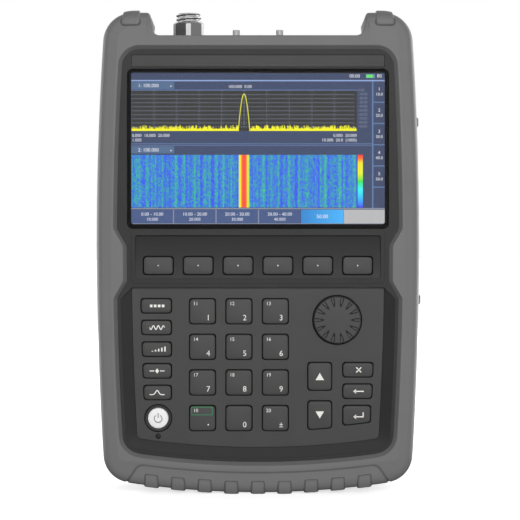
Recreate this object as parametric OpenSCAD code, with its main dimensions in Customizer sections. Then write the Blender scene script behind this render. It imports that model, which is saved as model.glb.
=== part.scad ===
// Handheld spectrum analyzer: a two-part case with display, keypad and knob in a rubber boot.
// Millimetres. +Z is up, the front faces -Y, and the origin is under the middle of the base.
// Values ending in _d are depths, counted backwards from the boot's front face.
// Values ending in _in are insets from the boot's outer outline.

/* [Body] */
// Widest width of the boot
body_w = 194.4; // [190:0.2:202]
// Height of the corner horns above the rib soles
body_h = 290.4; // [287:0.2:298]
// Depth from the boot's front face to its back face
body_d = 74; // [70:0.5:84]
// Radius of the slight bow of the sides
side_bow_r = 1950; // [1600:10:2600]
// Height at which the body is widest
widest_z = 150; // [142:1:158]
// Radius of the slight bow of the base
base_bow_r = 540; // [480:5:700]
// Outer corner radius at the base
base_corner_r = 17; // [14:0.5:19]
// Outer corner radius at the top
top_corner_r = 18; // [15:0.5:20]

/* [Boot] */
// Thickness of the boot's side and top walls
boot_wall = 5; // [4.6:0.1:6]
// Thickness of the boot under the case
base_wall = 9; // [8:0.1:10]
// Thickness of the lip in front of the case
lip_t = 3; // [2.6:0.1:3.6]
// Thickness of the lip behind the case
rear_lip_t = 5; // [4.6:0.1:6]
// Inset of the lip's front edge on the sides
lip_in = 9.7; // [9:0.1:10.4]
// Width of the bevel inside the lip's front edge
bevel_w = 2.2; // [1.4:0.1:2.8]
// Extra width of the lip along the base
base_lip_extra = 6.2; // [5.4:0.1:7]
// Width that the lip is short of the side width along the top
top_lip_less = 3.8; // [3:0.1:4.4]
// Rounding of the boot's front and back edges
edge_r = 5; // [3:0.1:6]
// Fall of the side rails from the lip to the rounded edge
crown = 0.7; // [0.3:0.05:1]
// Height of the corner horns above the top edge
horn_h = 13.4; // [11:0.1:15]
// Width of a horn at its tip
horn_w = 31.7; // [29:0.1:33]
// Distance that the inner side of a horn leans in at its foot
horn_lean = 2.3; // [1.7:0.1:4]
// Depth of the thumb bulges at the waist of the lip
waist_depth = 5.9; // [4:0.1:7]
// Height of the straight part of the thumb bulges
waist_h = 21.6; // [18:0.1:25]
// Height of the ramps above and below each bulge
waist_ramp = 10.2; // [8:0.1:12]
// Width of the raised pads on the horns
pad_w = 11.6; // [9:0.1:12]
// Height of the raised pads on the front of the horns
pad_h = 9; // [7:0.1:11]
// Height of the raised pads above the horn
pad_t = 1; // [0.6:0.1:1.4]
// Length of the raised pads along the top of the horns
pad_reach = 16; // [10:0.5:24]

/* [Bumper] */
// Number of grip ribs on the base, an odd number
rib_count = 9; // [7:2:9]
// Distance of the outer ribs from the ends of the bumper's seam
rib_side = 7.2; // [6:0.1:10]
// Width of a rib
rib_w = 8; // [6:0.1:9]
// Height of a rib below the bumper's sole
rib_h = 1.2; // [0.8:0.1:1.8]
// Height of the ribs on the front face
rib_face_h = 7.2; // [6:0.1:8]
// Height of the bumper's seam above its sole
seam_h = 11.8; // [10.5:0.1:12.4]
// Distance of the ends of the bumper's seam from the widest point of the sides
seam_side = 25.7; // [23:0.1:28]
// Thickness of the bumper's sole
sole_t = 3.5; // [3:0.1:4.5]
// Thickness of the bumper's front and back flanges
flange_t = 2; // [1.6:0.1:2.2]

/* [Case] */
// Wall thickness of the case
case_wall = 2.5; // [2.2:0.1:3]
// Thickness of the front plate of the case
front_plate_t = 5; // [4.6:0.1:6]
// Thickness of the back wall of the case
back_wall = 3; // [2.6:0.1:4]
// Depth of the joint between the case halves
parting_d = 22; // [20.5:0.1:23]
// Radius of a case screw's shank
screw_r = 1.5; // [1.2:0.05:1.8]
// Length of a case screw's thread in the front half
screw_bite = 5.5; // [4:0.1:8]

/* [Display] */
// Distance from the visible display to the widest point of the sides
display_side = 20.7; // [20.4:0.1:24]
// Width of the black border of the lens
lens_border = 2.5; // [2:0.1:2.6]
// Thickness of the lens
lens_t = 2; // [1.5:0.1:2.4]
// Depth of the lens below the bezel
lens_sink = 0.9; // [0.5:0.1:1.1]
// Corner radius of the lens
lens_r = 3.5; // [2:0.1:4]
// Thickness of the display module
lcd_t = 6; // [4.5:0.1:8]
// Height of the nameplate strip
nameplate_h = 7.2; // [6:0.1:7.6]
// Thickness of the nameplate strip
nameplate_t = 0.8; // [0.6:0.1:1.2]

/* [Softkeys] */
// Distance of the softkey tray's ends inside the visible display
tray_side = 2.3; // [1.5:0.1:3.5]
// Height of the softkey tray
tray_h = 26.2; // [25:0.1:26.8]
// Depth of the tray's floor along its upper edge
tray_depth = 2.2; // [1.6:0.1:2.6]
// Number of softkeys
softkey_count = 6; // [6:1:6]
// Part of the tray's width that the softkey spacing leaves free
softkey_free = 3.8; // [2:0.1:12]
// Width of a softkey opening
softkey_w = 18.7; // [16:0.1:19.5]
// Height of a softkey opening
softkey_h = 11.6; // [9:0.1:12.4]

/* [Keypad] */
// Depth of the keypad plate below the bezel
recess_depth = 3; // [2.4:0.1:3.4]
// Width of the flat rim around the keypad recess
rim_w = 1.9; // [1.4:0.1:2.4]
// Width of the sloped sides of the keypad recess
slope_w = 6.7; // [5.6:0.1:7.4]
// Height of the keypad plate
keypad_h = 96.8; // [92:0.1:100]
// Width of a number key opening
number_w = 16.5; // [14:0.1:17.5]
// Height of a number key opening
number_h = 16; // [13:0.1:17]
// Spacing of the number key columns, as a share of half the plate's width
number_step = 0.2875; // [0.268:0.0005:0.294]
// Place of the middle number key column, as a share of half the plate's width
number_at = -0.15; // [-0.162:0.001:-0.144]
// Height of the function key openings
side_key_h = 9.5; // [8:0.1:10]
// Place of the left function keys' inner edge, as a share of half the plate's width
left_key_at = 0.678; // [0.665:0.001:0.704]
// Place of the right function keys' inner edge, as a share of half the plate's width
right_key_at = 0.665; // [0.652:0.001:0.69]
// Distance of the function keys from the plate's edge
side_key_margin = 5.2; // [4.2:0.1:6]
// Width of an arrow key opening
arrow_w = 15.2; // [13:0.1:16]
// Height of an arrow key opening
arrow_h = 17.6; // [15:0.1:18.2]
// Place of the arrow keys, as a share of half the plate's width
arrow_at = 0.488; // [0.482:0.001:0.5]
// Height of the key faces above the plate
key_proud = 1.5; // [1.3:0.1:2]
// Gap between a key and its opening
key_gap = 0.6; // [0.4:0.05:0.8]
// Distance that a key can be pressed
key_travel = 1; // [0.7:0.1:1.2]
// Corner radius of the key openings
key_r = 2; // [1:0.1:2.4]
// Radius of the power button
power_r = 6.25; // [5.5:0.05:6.4]
// Width of the collar around the power button
collar_w = 1.6; // [1.2:0.05:1.8]
// Place of the power button, as a share of half the plate's width
power_at = -0.7875; // [-0.795:0.0005:-0.775]
// Radius of the status light
led_r = 1.6; // [1.2:0.05:1.8]

/* [Knob] */
// Radius of the knob
knob_r = 14.3; // [12.5:0.1:14.8]
// Height of the knob above the keypad plate
knob_h = 5; // [4:0.1:6]
// Radius of the flat top of the knob
knob_top_r = 8.4; // [7:0.1:9]
// Number of finger flutes
flute_count = 14; // [10:1:16]
// Radius of a finger flute
flute_r = 1.5; // [1.2:0.05:1.8]
// Place of the knob, as a share of half the plate's width
knob_at = 0.626; // [0.615:0.001:0.636]
// Radius of the encoder's shaft
shaft_r = 3; // [2.5:0.05:3.2]

/* [Connectors] */
// Distance of the RF connector from the foot of the left horn
rf_side = 20.3; // [19.4:0.1:25]
// Radius of the RF connector's coupling thread
rf_thread_r = 7.94; // [7:0.01:8.5]
// Height of the RF connector's coupling thread
rf_thread_h = 6.1; // [5:0.1:8]
// Width of the RF connector's nut across its flats
rf_nut_af = 19; // [18:0.1:21]
// Height of the RF connector's nut
rf_nut_h = 15.3; // [12:0.1:17]
// Position of the small coaxial connectors, from the middle
aux_x = 13.5; // [12:0.1:16]
// Radius of the small coaxial connectors
aux_r = 2.2; // [1.9:0.05:2.6]
// Height of the small coaxial connectors
aux_h = 10.6; // [8:0.1:12]

/* [Doors and stand] */
// Height of a port door
door_h = 44; // [38:0.5:46]
// Width of a port door from front to back
door_w = 28; // [24:0.5:29]
// Thickness of a port door
door_t = 3.2; // [2.9:0.1:3.4]
// Distance of the upper port door's middle below the top edge
door_drop = 51; // [47:0.5:55]
// Height of the lower port door's middle
door_lower_z = 117; // [114:0.5:118]
// Radius of the hinge pins of the port doors
door_pin_r = 1; // [0.8:0.05:1.2]
// Distance of the kickstand's hinge below the top edge
stand_drop = 73; // [65:0.5:81]
// Length of the kickstand below its hinge
stand_len = 108; // [95:0.5:110]
// Width of the kickstand
stand_w = 90; // [80:0.5:100]
// Radius of the kickstand's hinge pins
stand_pin_r = 1.3; // [1.1:0.05:1.4]
// Width of the battery
battery_w = 110; // [95:0.5:114]
// Height of the battery
battery_h = 52; // [44:0.5:54]
// Depth of the battery
battery_t = 21; // [16:0.1:22]

/* [Hidden] */
$fn = 48;

// Clearances
fit = 0.15;
running_fit = 0.06;
seat = 0.1;

// Steps along the outlines
base_steps = 9;
corner_steps = 6;
side_steps = 6;
waist_steps = 3;
edge_steps = 4;

// Insets of the front outlines
bezel_in = lip_in + bevel_w;
recess_in = bezel_in + rim_w;
panel_in = recess_in + slope_w;
front_corner = 23.5;

// Bars of the front plate between the display, tray and keypad
nameplate_bar = 3.6;
lens_bar = 1.3;
tray_bar = 4.1;
keypad_bar = 5.3;
softkey_bar = 2.2;

// Heights on the front: the keypad and tray from the base up, the display in what is left
front_y = -body_d / 2;
top_z = body_h - horn_h;
top_lip_in = lip_in - top_lip_less;
panel_bottom_z = rib_h + panel_in + base_lip_extra;
keypad_top_z = panel_bottom_z + keypad_h;
tray_bottom_z = keypad_top_z + keypad_bar;
tray_top_z = tray_bottom_z + tray_h;
softkey_z = tray_bottom_z + softkey_bar + softkey_h / 2;
waist_z = tray_bottom_z + 9.2;
nameplate_top_z = top_z - top_lip_in - bevel_w - nameplate_bar;
lens_top_z = nameplate_top_z - nameplate_h - lens_bar;
lens_h = lens_top_z - tray_top_z - tray_bar;
lcd_z = lens_top_z - lens_h / 2;
lcd_h = lens_h - 2 * lens_border;
lcd_w = body_w - 2 * display_side;
lens_w = lcd_w + 2 * lens_border;
tray_w = lcd_w - 2 * tray_side;
softkey_pitch = (tray_w - softkey_free) / softkey_count;
case_top_z = top_z - boot_wall - fit;

// Horns, bumper and top connectors from side to side
horn_tip_x = body_w / 2 - horn_w;
horn_foot_x = horn_tip_x - horn_lean;
bay_half_w = horn_foot_x - 7;
bay_margin = 14;
seam_half_w = body_w / 2 - seam_side;
rib_pitch = (seam_half_w - rib_side) / ((rib_count - 1) / 2);
rf_x = rf_side - horn_foot_x;

// Depths from the front to the back
bezel_d = lip_t;
plate_back_d = bezel_d + front_plate_t;
panel_d = bezel_d + recess_depth;
lens_d = bezel_d + lens_sink;
lens_back_d = lens_d + lens_t;
gasket_t = 1;
lcd_d = plate_back_d + gasket_t;
lcd_back_d = lcd_d + lcd_t;
frame_t = 1.2;
key_flange_t = 1;
mat_t = 1.5;
board_t = 1.6;
mat_d = plate_back_d + key_flange_t + key_travel + 0.2;
board_d = mat_d + mat_t;
board_back_d = board_d + board_t;
back_d = body_d - rear_lip_t;
inside_back_d = back_d - back_wall;
middle_d = body_d / 2;

// Keypad positions across the plate
panel_half_w = body_w / 2 - panel_in;
number_pitch = number_step * panel_half_w;
number_x = number_at * panel_half_w;
left_key_x = left_key_at * panel_half_w;
right_key_x = right_key_at * panel_half_w;
arrow_x = arrow_at * panel_half_w;
power_x = power_at * panel_half_w;
knob_x = knob_at * panel_half_w;

// Keypad positions counted from the plate's top and bottom edges
well_r = knob_r + 0.8;
well_wall = 1.4;
well_d = panel_d + 2.6;
well_floor_t = 1.2;
power_well_r = power_r + fit + collar_w;
power_rise = 17.7;
led_drop = 11.1;
number_drop = 14.4;
left_drop = 11.1;
left_over_power = 15.5;
low_key_margin = 10.2;
knob_drop = 19.6;
// The base bows up to its sides, and the power button and its light follow the bow
power_bow = base_bow_r - sqrt(base_bow_r * base_bow_r - power_x * power_x);
nominal_bow = 3.389;
power_z = panel_bottom_z + power_rise + power_bow - nominal_bow;
led_z = power_z - led_drop;
number_top_z = keypad_top_z - number_drop;
number_row = (number_top_z - panel_bottom_z - power_rise) / 3;
left_top_z = keypad_top_z - left_drop;
left_row = (left_top_z - power_z - left_over_power) / 4;
knob_z = keypad_top_z - knob_drop;
// The keys under the knob share the height that it leaves
under_knob = knob_z - well_r - well_wall - panel_bottom_z;
arrow_down_z = panel_bottom_z + 0.3246 * under_knob;
arrow_up_z = panel_bottom_z + 0.7084 * under_knob;
enter_z = panel_bottom_z + 0.3196 * under_knob;
back_key_z = panel_bottom_z + 0.56 * under_knob;
escape_z = panel_bottom_z + 0.774 * under_knob;
// The ledge of the front case that the keypad plate lies on
ledge_t = 1.5;
ledge_w = 2.5;
ledge_lap = 1.2;

// Doors, stand and battery
door_upper_z = top_z - door_drop;
stand_z = top_z - stand_drop;
door_d = middle_d + 1;
door_axis_in = 2.2;
stand_t = 3.5;
stand_barrel_r = 1.9;
stand_axis_d = back_d + 0.3 + stand_barrel_r;
battery_z = 60;
battery_door_t = 2.5;
battery_door_w = battery_w + 8;
battery_door_h = battery_h + 8;
battery_d = back_d - battery_door_t - battery_t - seat;
main_board_w = 136;
main_board_low_z = 98;
main_board_h = case_top_z - 24 - main_board_low_z;
main_board_d = 34;
rf_module_w = 90;
rf_module_h = 56;
rf_module_t = 14;
rf_module_drop = 48;
port_in = boot_wall + fit;

// Case screws: heights, and the distance of each boss inside the wall
screw_heights = [60, 146, case_top_z - 8];
boss_r = 4;
post_r = 2.2;
board_post_x = body_w / 2 - 19.7;
board_post_heights = [45, keypad_top_z + 3];
frame_post_x = lens_w / 2 + 3.6;
frame_post_reach = 40;

// Colours
boot_color = [0.48, 0.48, 0.48];
case_color = [0.25, 0.25, 0.26];
plate_color = [0.31, 0.31, 0.32];
key_color = [0.33, 0.33, 0.34];
metal_color = [0.75, 0.75, 0.76];
board_color = [0.10, 0.35, 0.18];

number_names = ["key_1", "key_2", "key_3", "key_4", "key_5", "key_6",
                "key_7", "key_8", "key_9", "key_point", "key_0", "key_sign"];
left_names = ["key_mode", "key_frequency", "key_amplitude", "key_marker", "key_peak"];
softkey_names = [for (i = [1:softkey_count]) str("softkey_", i)];

// Outlines, drawn in X and Z as right halves from the middle of the base up to the middle of the top

function unit(v) = v / norm(v);

// Points on the rounded corner at b between the lines to a and c
function fillet(a, b, c, r, n) =
    let (
        u = unit(a - b),
        v = unit(c - b),
        half = acos(u * v) / 2,
        mid = b + unit(u + v) * r / sin(half),
        p = b + u * r / tan(half) - mid,
        q = b + v * r / tan(half) - mid,
        start = atan2(p.y, p.x),
        sweep = (atan2(q.y, q.x) - start + 540) % 360 - 180
    )
    [for (i = [0:n]) mid + r * [cos(start + sweep * i / n), sin(start + sweep * i / n)]];

// A closed outline with every corner rounded
function rounded(pts, r, n) =
    let (count = len(pts))
    [for (i = [0:count - 1])
        each fillet(pts[(i + count - 1) % count], pts[i], pts[(i + 1) % count], r, n)];

// A whole outline from its right half
function mirrored(half) =
    concat(half, [for (i = [len(half) - 2:-1:1]) [-half[i].x, half[i].y]]);

function side_x(z, inset) =
    body_w / 2 - side_bow_r + sqrt(pow(side_bow_r - inset, 2) - pow(z - widest_z, 2));

function base_z(x, inset) =
    rib_h + base_bow_r - sqrt(pow(base_bow_r - inset, 2) - x * x);

// The base and its corner
function base_half(side_in, base_in, r) =
    let (
        z = base_z(body_w / 2 - side_in, base_in),
        corner = [side_x(z, side_in), z],
        along_base = [corner.x - r, base_z(corner.x - r, base_in)],
        along_side = [side_x(z + r, side_in), z + r],
        bend = fillet(along_base, corner, along_side, r, corner_steps)
    )
    concat([for (i = [0:base_steps - 1])
               let (x = bend[0].x * i / base_steps) [x, base_z(x, base_in)]],
           bend);

// Points strictly between two heights on the bowed side
function side_between(z1, z2, side_in) =
    [for (i = [1:side_steps])
        let (z = z1 + (z2 - z1) * i / (side_steps + 1)) [side_x(z, side_in), z]];

// The thumb bulge at the waist of the lip
function waist_half(side_in) =
    let (
        z2 = waist_z - waist_h / 2,
        z3 = waist_z + waist_h / 2,
        z1 = z2 - waist_ramp,
        z4 = z3 + waist_ramp,
        below = [side_x(z1 - 8, side_in), z1 - 8],
        p1 = [side_x(z1, side_in), z1],
        p2 = [side_x(z2, side_in) - waist_depth, z2],
        p3 = [side_x(z3, side_in) - waist_depth, z3],
        p4 = [side_x(z4, side_in), z4],
        above = [side_x(z4 + 8, side_in), z4 + 8],
        r = 4
    )
    concat(fillet(below, p1, p2, r, waist_steps), fillet(p1, p2, p3, r, waist_steps),
           fillet(p2, p3, p4, r, waist_steps), fillet(p3, p4, above, r, waist_steps));

// The same heights on a side that has no bulge
function plain_waist(side_in) =
    [for (p = waist_half(lip_in)) [side_x(p.y, side_in), p.y]];

// The inner side of a horn and the bend at its foot
function horn_half() =
    let (
        tip = [horn_tip_x, body_h],
        foot = [horn_foot_x, top_z]
    )
    concat(fillet([horn_tip_x + 9, body_h], tip, foot, 2, 3),
           fillet(tip, foot, [0, top_z], 4.5, 4));

// A top corner that ends on a level top edge
function top_corner(side_in, z, r) =
    let (x = side_x(z, side_in))
    fillet([side_x(z - r, side_in), z - r], [x, z], [x - r, z], r, corner_steps);

// An outline that follows the body, with one point for each point of the boot's outline
function frame_half(side_in, base_in, top_in, base_r, top_r, waist) =
    let (
        low = base_half(side_in, base_in, base_r),
        high = top_corner(side_in, top_z - top_in, top_r)
    )
    concat(low,
           side_between(low[len(low) - 1].y, waist[0].y, side_in),
           waist,
           side_between(waist[len(waist) - 1].y, high[0].y, side_in),
           high,
           [for (p = horn_half()) [p.x, top_z - top_in]],
           [[0, top_z - top_in]]);

function boot_half() =
    let (
        low = base_half(0, 0, base_corner_r),
        waist = plain_waist(0),
        high = top_corner(0, body_h, top_corner_r)
    )
    concat(low,
           side_between(low[len(low) - 1].y, waist[0].y, 0),
           waist,
           side_between(waist[len(waist) - 1].y, high[0].y, 0),
           high,
           horn_half(),
           [[0, top_z]]);

function front_half(side_in) =
    frame_half(side_in, side_in + base_lip_extra, side_in - top_lip_less,
               front_corner - side_in, front_corner - 1 - side_in, waist_half(side_in));

function case_half(extra) =
    frame_half(boot_wall + extra, base_wall + extra, boot_wall + extra,
               base_corner_r - boot_wall - extra, top_corner_r - boot_wall - extra,
               plain_waist(boot_wall + extra));

function rear_window_half() =
    frame_half(boot_wall + 11, base_wall + 13, boot_wall + 9, 10, 10,
               plain_waist(boot_wall + 11));

// The keypad recess and plate: sharp upper corners on the plate, cut corners on the recess.
// rise lifts the top edge.
function keypad_half(side_in, rise = 0) =
    let (
        low = base_half(side_in, side_in + base_lip_extra, front_corner - side_in),
        cut = 0.4 + max(0, panel_in - side_in),
        top = keypad_top_z + rise,
        high_z = top - cut
    )
    concat(low,
           side_between(low[len(low) - 1].y, high_z, side_in),
           [[side_x(high_z, side_in), high_z],
            [side_x(high_z, side_in) - cut, top],
            [0, top]]);

// The seam of the bumper, open downwards
function seam_half(grow) =
    let (
        x = seam_half_w + grow,
        shoulder = [x, base_z(x, seam_h + grow)],
        low = [x + 16, shoulder.y - 24],
        inner = [x - 10, base_z(x - 10, seam_h + grow)],
        bend = fillet(low, shoulder, inner, 3, 3)
    )
    concat([[0, low.y], low], bend,
           [for (i = [base_steps - 1:-1:0])
               let (s = bend[3].x * i / base_steps) [s, base_z(s, seam_h + grow)]]);

// Placing shapes

// Extrudes a shape drawn in X and Z from depth d1 to depth d2
module slab(d1, d2) {
    translate([0, front_y + d2, 0])
        rotate([90, 0, 0])
            linear_extrude(d2 - d1)
                children();
}

// Extrudes a shape drawn in depth and Z from x1 to x2
module side_slab(x1, x2) {
    translate([x1, front_y, 0])
        rotate([90, 0, 90])
            linear_extrude(x2 - x1)
                children();
}

// Turns a shape made about the Z axis so that its top faces the front, at depth d
module facing_front(x, z, d) {
    translate([x, front_y + d, z])
        rotate([90, 0, 0])
            children();
}

// A rectangle with round corners about its middle
module soft_rect(w, h, r) {
    square([w - 2 * r, h], center = true);
    square([w, h - 2 * r], center = true);
    for (x = [-1, 1])
        for (y = [-1, 1])
            translate([x * (w / 2 - r), y * (h / 2 - r)])
                circle(r);
}

// A round bar along X
module bar_x(x1, x2, d, z, r) {
    translate([x1, front_y + d, z])
        rotate([0, 90, 0])
            cylinder(h = x2 - x1, r = r);
}

// A solid between two outlines with the same number of points
module loft(outline_1, d1, outline_2, d2) {
    n = len(outline_1);
    polyhedron(
        points = concat([for (p = outline_1) [p.x, front_y + d1, p.y]],
                        [for (p = outline_2) [p.x, front_y + d2, p.y]]),
        faces = concat(
            [for (i = [0:n - 1]) [i, (i + 1) % n, n + (i + 1) % n]],
            [for (i = [0:n - 1]) [i, n + (i + 1) % n, n + i]],
            [for (i = [1:n - 2]) [0, i + 1, i]],
            [for (i = [1:n - 2]) [n, n + i, n + i + 1]]));
}

// The boot's skin: rings of points that go round from the front lip, over the outside and
// the back lip, and forward again along the pocket for the case

boot_outline = mirrored(boot_half());
ring_count = len(boot_outline);
half_count = len(boot_half());
horn_count = len(horn_half());
soft_start = half_count - 1 - horn_count - corner_steps - 1;
tip_softness = 0.15;
valley_softness = 0.1;

// How much of the edge rounding a point of the right half gets
function half_softness(i) =
    i < soft_start ? 1
    : i <= soft_start + corner_steps ? 1 - 0.5 * (i - soft_start) / corner_steps
    : i <= soft_start + corner_steps + 4 ? tip_softness
    : valley_softness;

softness = [for (i = [0:ring_count - 1])
    half_softness(i < half_count ? i : ring_count - i)];

outward = [for (i = [0:ring_count - 1])
    let (t = unit(boot_outline[(i + 1) % ring_count]
                  - boot_outline[(i + ring_count - 1) % ring_count]))
    [t.y, -t.x]];

// The outline moved inwards by the rounding's share of an inset
function soft_ring(inset, d, from_back) =
    [for (i = [0:ring_count - 1])
        let (
            p = boot_outline[i] - outward[i] * inset * softness[i],
            depth = d * softness[i]
        )
        [p.x, front_y + (from_back ? body_d - depth : depth), p.y]];

function flat_ring(half, d) = [for (p = mirrored(half)) [p.x, front_y + d, p.y]];

edge_angles = [for (k = [0:edge_steps]) 90 * k / edge_steps];

boot_rings = concat(
    [flat_ring(front_half(lip_in), 0)],
    [soft_ring(lip_in - 0.5, 0, false)],
    [for (a = edge_angles) soft_ring(edge_r * (1 - sin(a)), crown + edge_r * (1 - cos(a)), false)],
    [for (k = [edge_steps:-1:0])
        let (a = edge_angles[k]) soft_ring(edge_r * (1 - sin(a)), edge_r * (1 - cos(a)), true)],
    [flat_ring(rear_window_half(), body_d)],
    [flat_ring(rear_window_half(), back_d)],
    [flat_ring(case_half(0), back_d)],
    [flat_ring(case_half(0), bezel_d)],
    [flat_ring(front_half(bezel_in), bezel_d)]);

module boot_skin() {
    rings = len(boot_rings);
    polyhedron(
        points = [for (ring = boot_rings) each ring],
        faces = [for (r = [0:rings - 1])
            for (i = [0:ring_count - 1])
                let (
                    a = r * ring_count + i,
                    b = r * ring_count + (i + 1) % ring_count,
                    c = ((r + 1) % rings) * ring_count + (i + 1) % ring_count,
                    d = ((r + 1) % rings) * ring_count + i
                )
                each [[a, b, c], [a, c, d]]]);
}

// The room taken by the bumper: sole and flanges inside the seam
module bumper_zone(grow, core_grow) {
    difference() {
        slab(-6, body_d + 6)
            polygon(mirrored(seam_half(grow)));
        slab(flange_t - core_grow, body_d - flange_t + core_grow)
            polygon(concat([for (i = [-base_steps:base_steps])
                               let (x = body_w / 2 * i / base_steps)
                               [x, base_z(x, sole_t - core_grow)]],
                           [[body_w / 2, widest_z], [-body_w / 2, widest_z]]));
    }
}

module ribs() {
    middle = (rib_count - 1) / 2;
    for (i = [-middle:middle]) {
        x = i * rib_pitch;
        sole = abs(i) <= 1 ? 0 : base_z(x, 0) - rib_h;
        front = crown / 2;
        side_slab(x - rib_w / 2, x + rib_w / 2)
            polygon(concat(
                fillet([front, sole + 20], [front, sole], [20, sole], edge_r - 1, 4),
                fillet([40, sole], [body_d - front, sole], [body_d - front, sole + 20],
                       edge_r - 1, 4),
                [[body_d - front, sole + rib_face_h], [front, sole + rib_face_h]]));
    }
}

module top_bay() {
    translate([-bay_half_w, front_y + bay_margin, top_z - 2 * boot_wall])
        cube([2 * bay_half_w, body_d - 2 * bay_margin, 3 * boot_wall]);
}

// Places a port door's own frame: x outwards, z along the bowed side, y 0 at the hinge
module at_door(z) {
    translate([side_x(z, 0), front_y + door_d + door_w / 2, z])
        rotate([0, -asin((z - widest_z) / side_bow_r), 0])
            children();
}

module door_pocket(z) {
    at_door(z) {
        translate([-boot_wall - 2, -door_w - 0.4, -door_h / 2 - 0.3])
            cube([boot_wall + 4, door_w + 0.8 + 1.9, door_h + 0.6]);
        translate([-door_axis_in, 0, -door_h / 2 - 3])
            cylinder(h = door_h + 6, r = door_pin_r + running_fit);
    }
}

// The raised pads over the corners of both horns
module horn_pads(d1, d2) {
    for (s = [-1, 1])
        slab(d1, d2)
            translate([s * (horn_tip_x + 5.5 + pad_w / 2),
                       body_h + pad_t - (pad_h + pad_t) / 2])
                soft_rect(pad_w, pad_h + pad_t, 1.8);
}

module rubber_boot() {
    color(boot_color)
        difference() {
            union() {
                boot_skin();
                horn_pads(-pad_t, pad_reach);
                horn_pads(body_d - pad_reach, body_d + pad_t);
            }
            bumper_zone(seat, 0);
            top_bay();
            door_pocket(door_upper_z);
            door_pocket(door_lower_z);
        }
}

module bottom_bumper() {
    color(boot_color)
        intersection() {
            union() {
                boot_skin();
                ribs();
            }
            bumper_zone(0, seat);
        }
}

// Case

function screw_x(z) = side_x(z, boot_wall + case_wall + fit) - 2.5;

module at_screws() {
    for (z = screw_heights)
        for (s = [-1, 1])
            translate([s * screw_x(z), z])
                children();
}

module at_board_posts() {
    for (z = board_post_heights)
        for (s = [-1, 1])
            translate([s * board_post_x, z])
                children();
}

module at_frame_posts() {
    for (reach = [-1, 1])
        for (s = [-1, 1])
            translate([s * frame_post_x, lcd_z + reach * frame_post_reach])
                children();
}

module case_shell(d1, d2) {
    slab(d1, d2)
        polygon(mirrored(case_half(fit)));
}

module case_room(d1, d2) {
    slab(d1, d2)
        polygon(mirrored(case_half(fit + case_wall)));
}

// The tray's floor is deepest along its upper edge
module tray_cut() {
    intersection() {
        slab(bezel_d - 1, plate_back_d)
            translate([0, tray_bottom_z + tray_h / 2])
                soft_rect(tray_w, tray_h, 1.5);
        side_slab(-tray_w / 2 - 1, tray_w / 2 + 1)
            polygon([[bezel_d - 1, tray_bottom_z - 1], [bezel_d + 0.5, tray_bottom_z - 1],
                     [bezel_d + 0.5, tray_bottom_z], [bezel_d + tray_depth, tray_top_z],
                     [bezel_d + tray_depth, tray_top_z + 1], [bezel_d - 1, tray_top_z + 1]]);
    }
}

module front_case() {
    lead = 0.3;
    color(case_color)
        difference() {
            union() {
                difference() {
                    case_shell(bezel_d, parting_d);
                    case_room(plate_back_d, parting_d + 1);
                }
                intersection() {
                    slab(plate_back_d - 1, parting_d)
                        at_screws() circle(boss_r);
                    case_shell(bezel_d, parting_d);
                }
                slab(plate_back_d - 1, board_d)
                    at_board_posts() circle(post_r);
                slab(plate_back_d - 1, lcd_back_d)
                    at_frame_posts() circle(post_r);
                slab(plate_back_d - 1, plate_back_d + ledge_t)
                    polygon(mirrored(keypad_half(panel_in - ledge_w, ledge_w)));
            }
            slab(bezel_d - 1, lens_back_d)
                translate([0, lcd_z])
                    soft_rect(lens_w + 2 * fit, lens_h + 2 * fit, lens_r);
            slab(bezel_d, plate_back_d + 1)
                translate([0, lcd_z])
                    square([lcd_w + 0.6, lcd_h + 0.6], center = true);
            slab(bezel_d - 1, bezel_d + nameplate_t - 0.2)
                translate([0, nameplate_top_z - nameplate_h / 2])
                    soft_rect(lcd_w + 2 * seat, nameplate_h + 2 * seat, 0.8);
            tray_cut();
            slab(bezel_d, plate_back_d + 1)
                for (i = [0:softkey_count - 1])
                    polygon(softkey_outline(i, 0));
            loft(mirrored(keypad_half(recess_in - slope_w * lead / recess_depth)), bezel_d - lead,
                 mirrored(keypad_half(panel_in)), panel_d);
            slab(panel_d - 0.05, plate_back_d)
                polygon(mirrored(keypad_half(panel_in)));
            slab(plate_back_d - 0.5, plate_back_d + ledge_t + 1)
                polygon(mirrored(keypad_half(panel_in + ledge_lap)));
            slab(plate_back_d + 2, parting_d + 1)
                at_screws() circle(screw_r + 0.02);
        }
}

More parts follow.
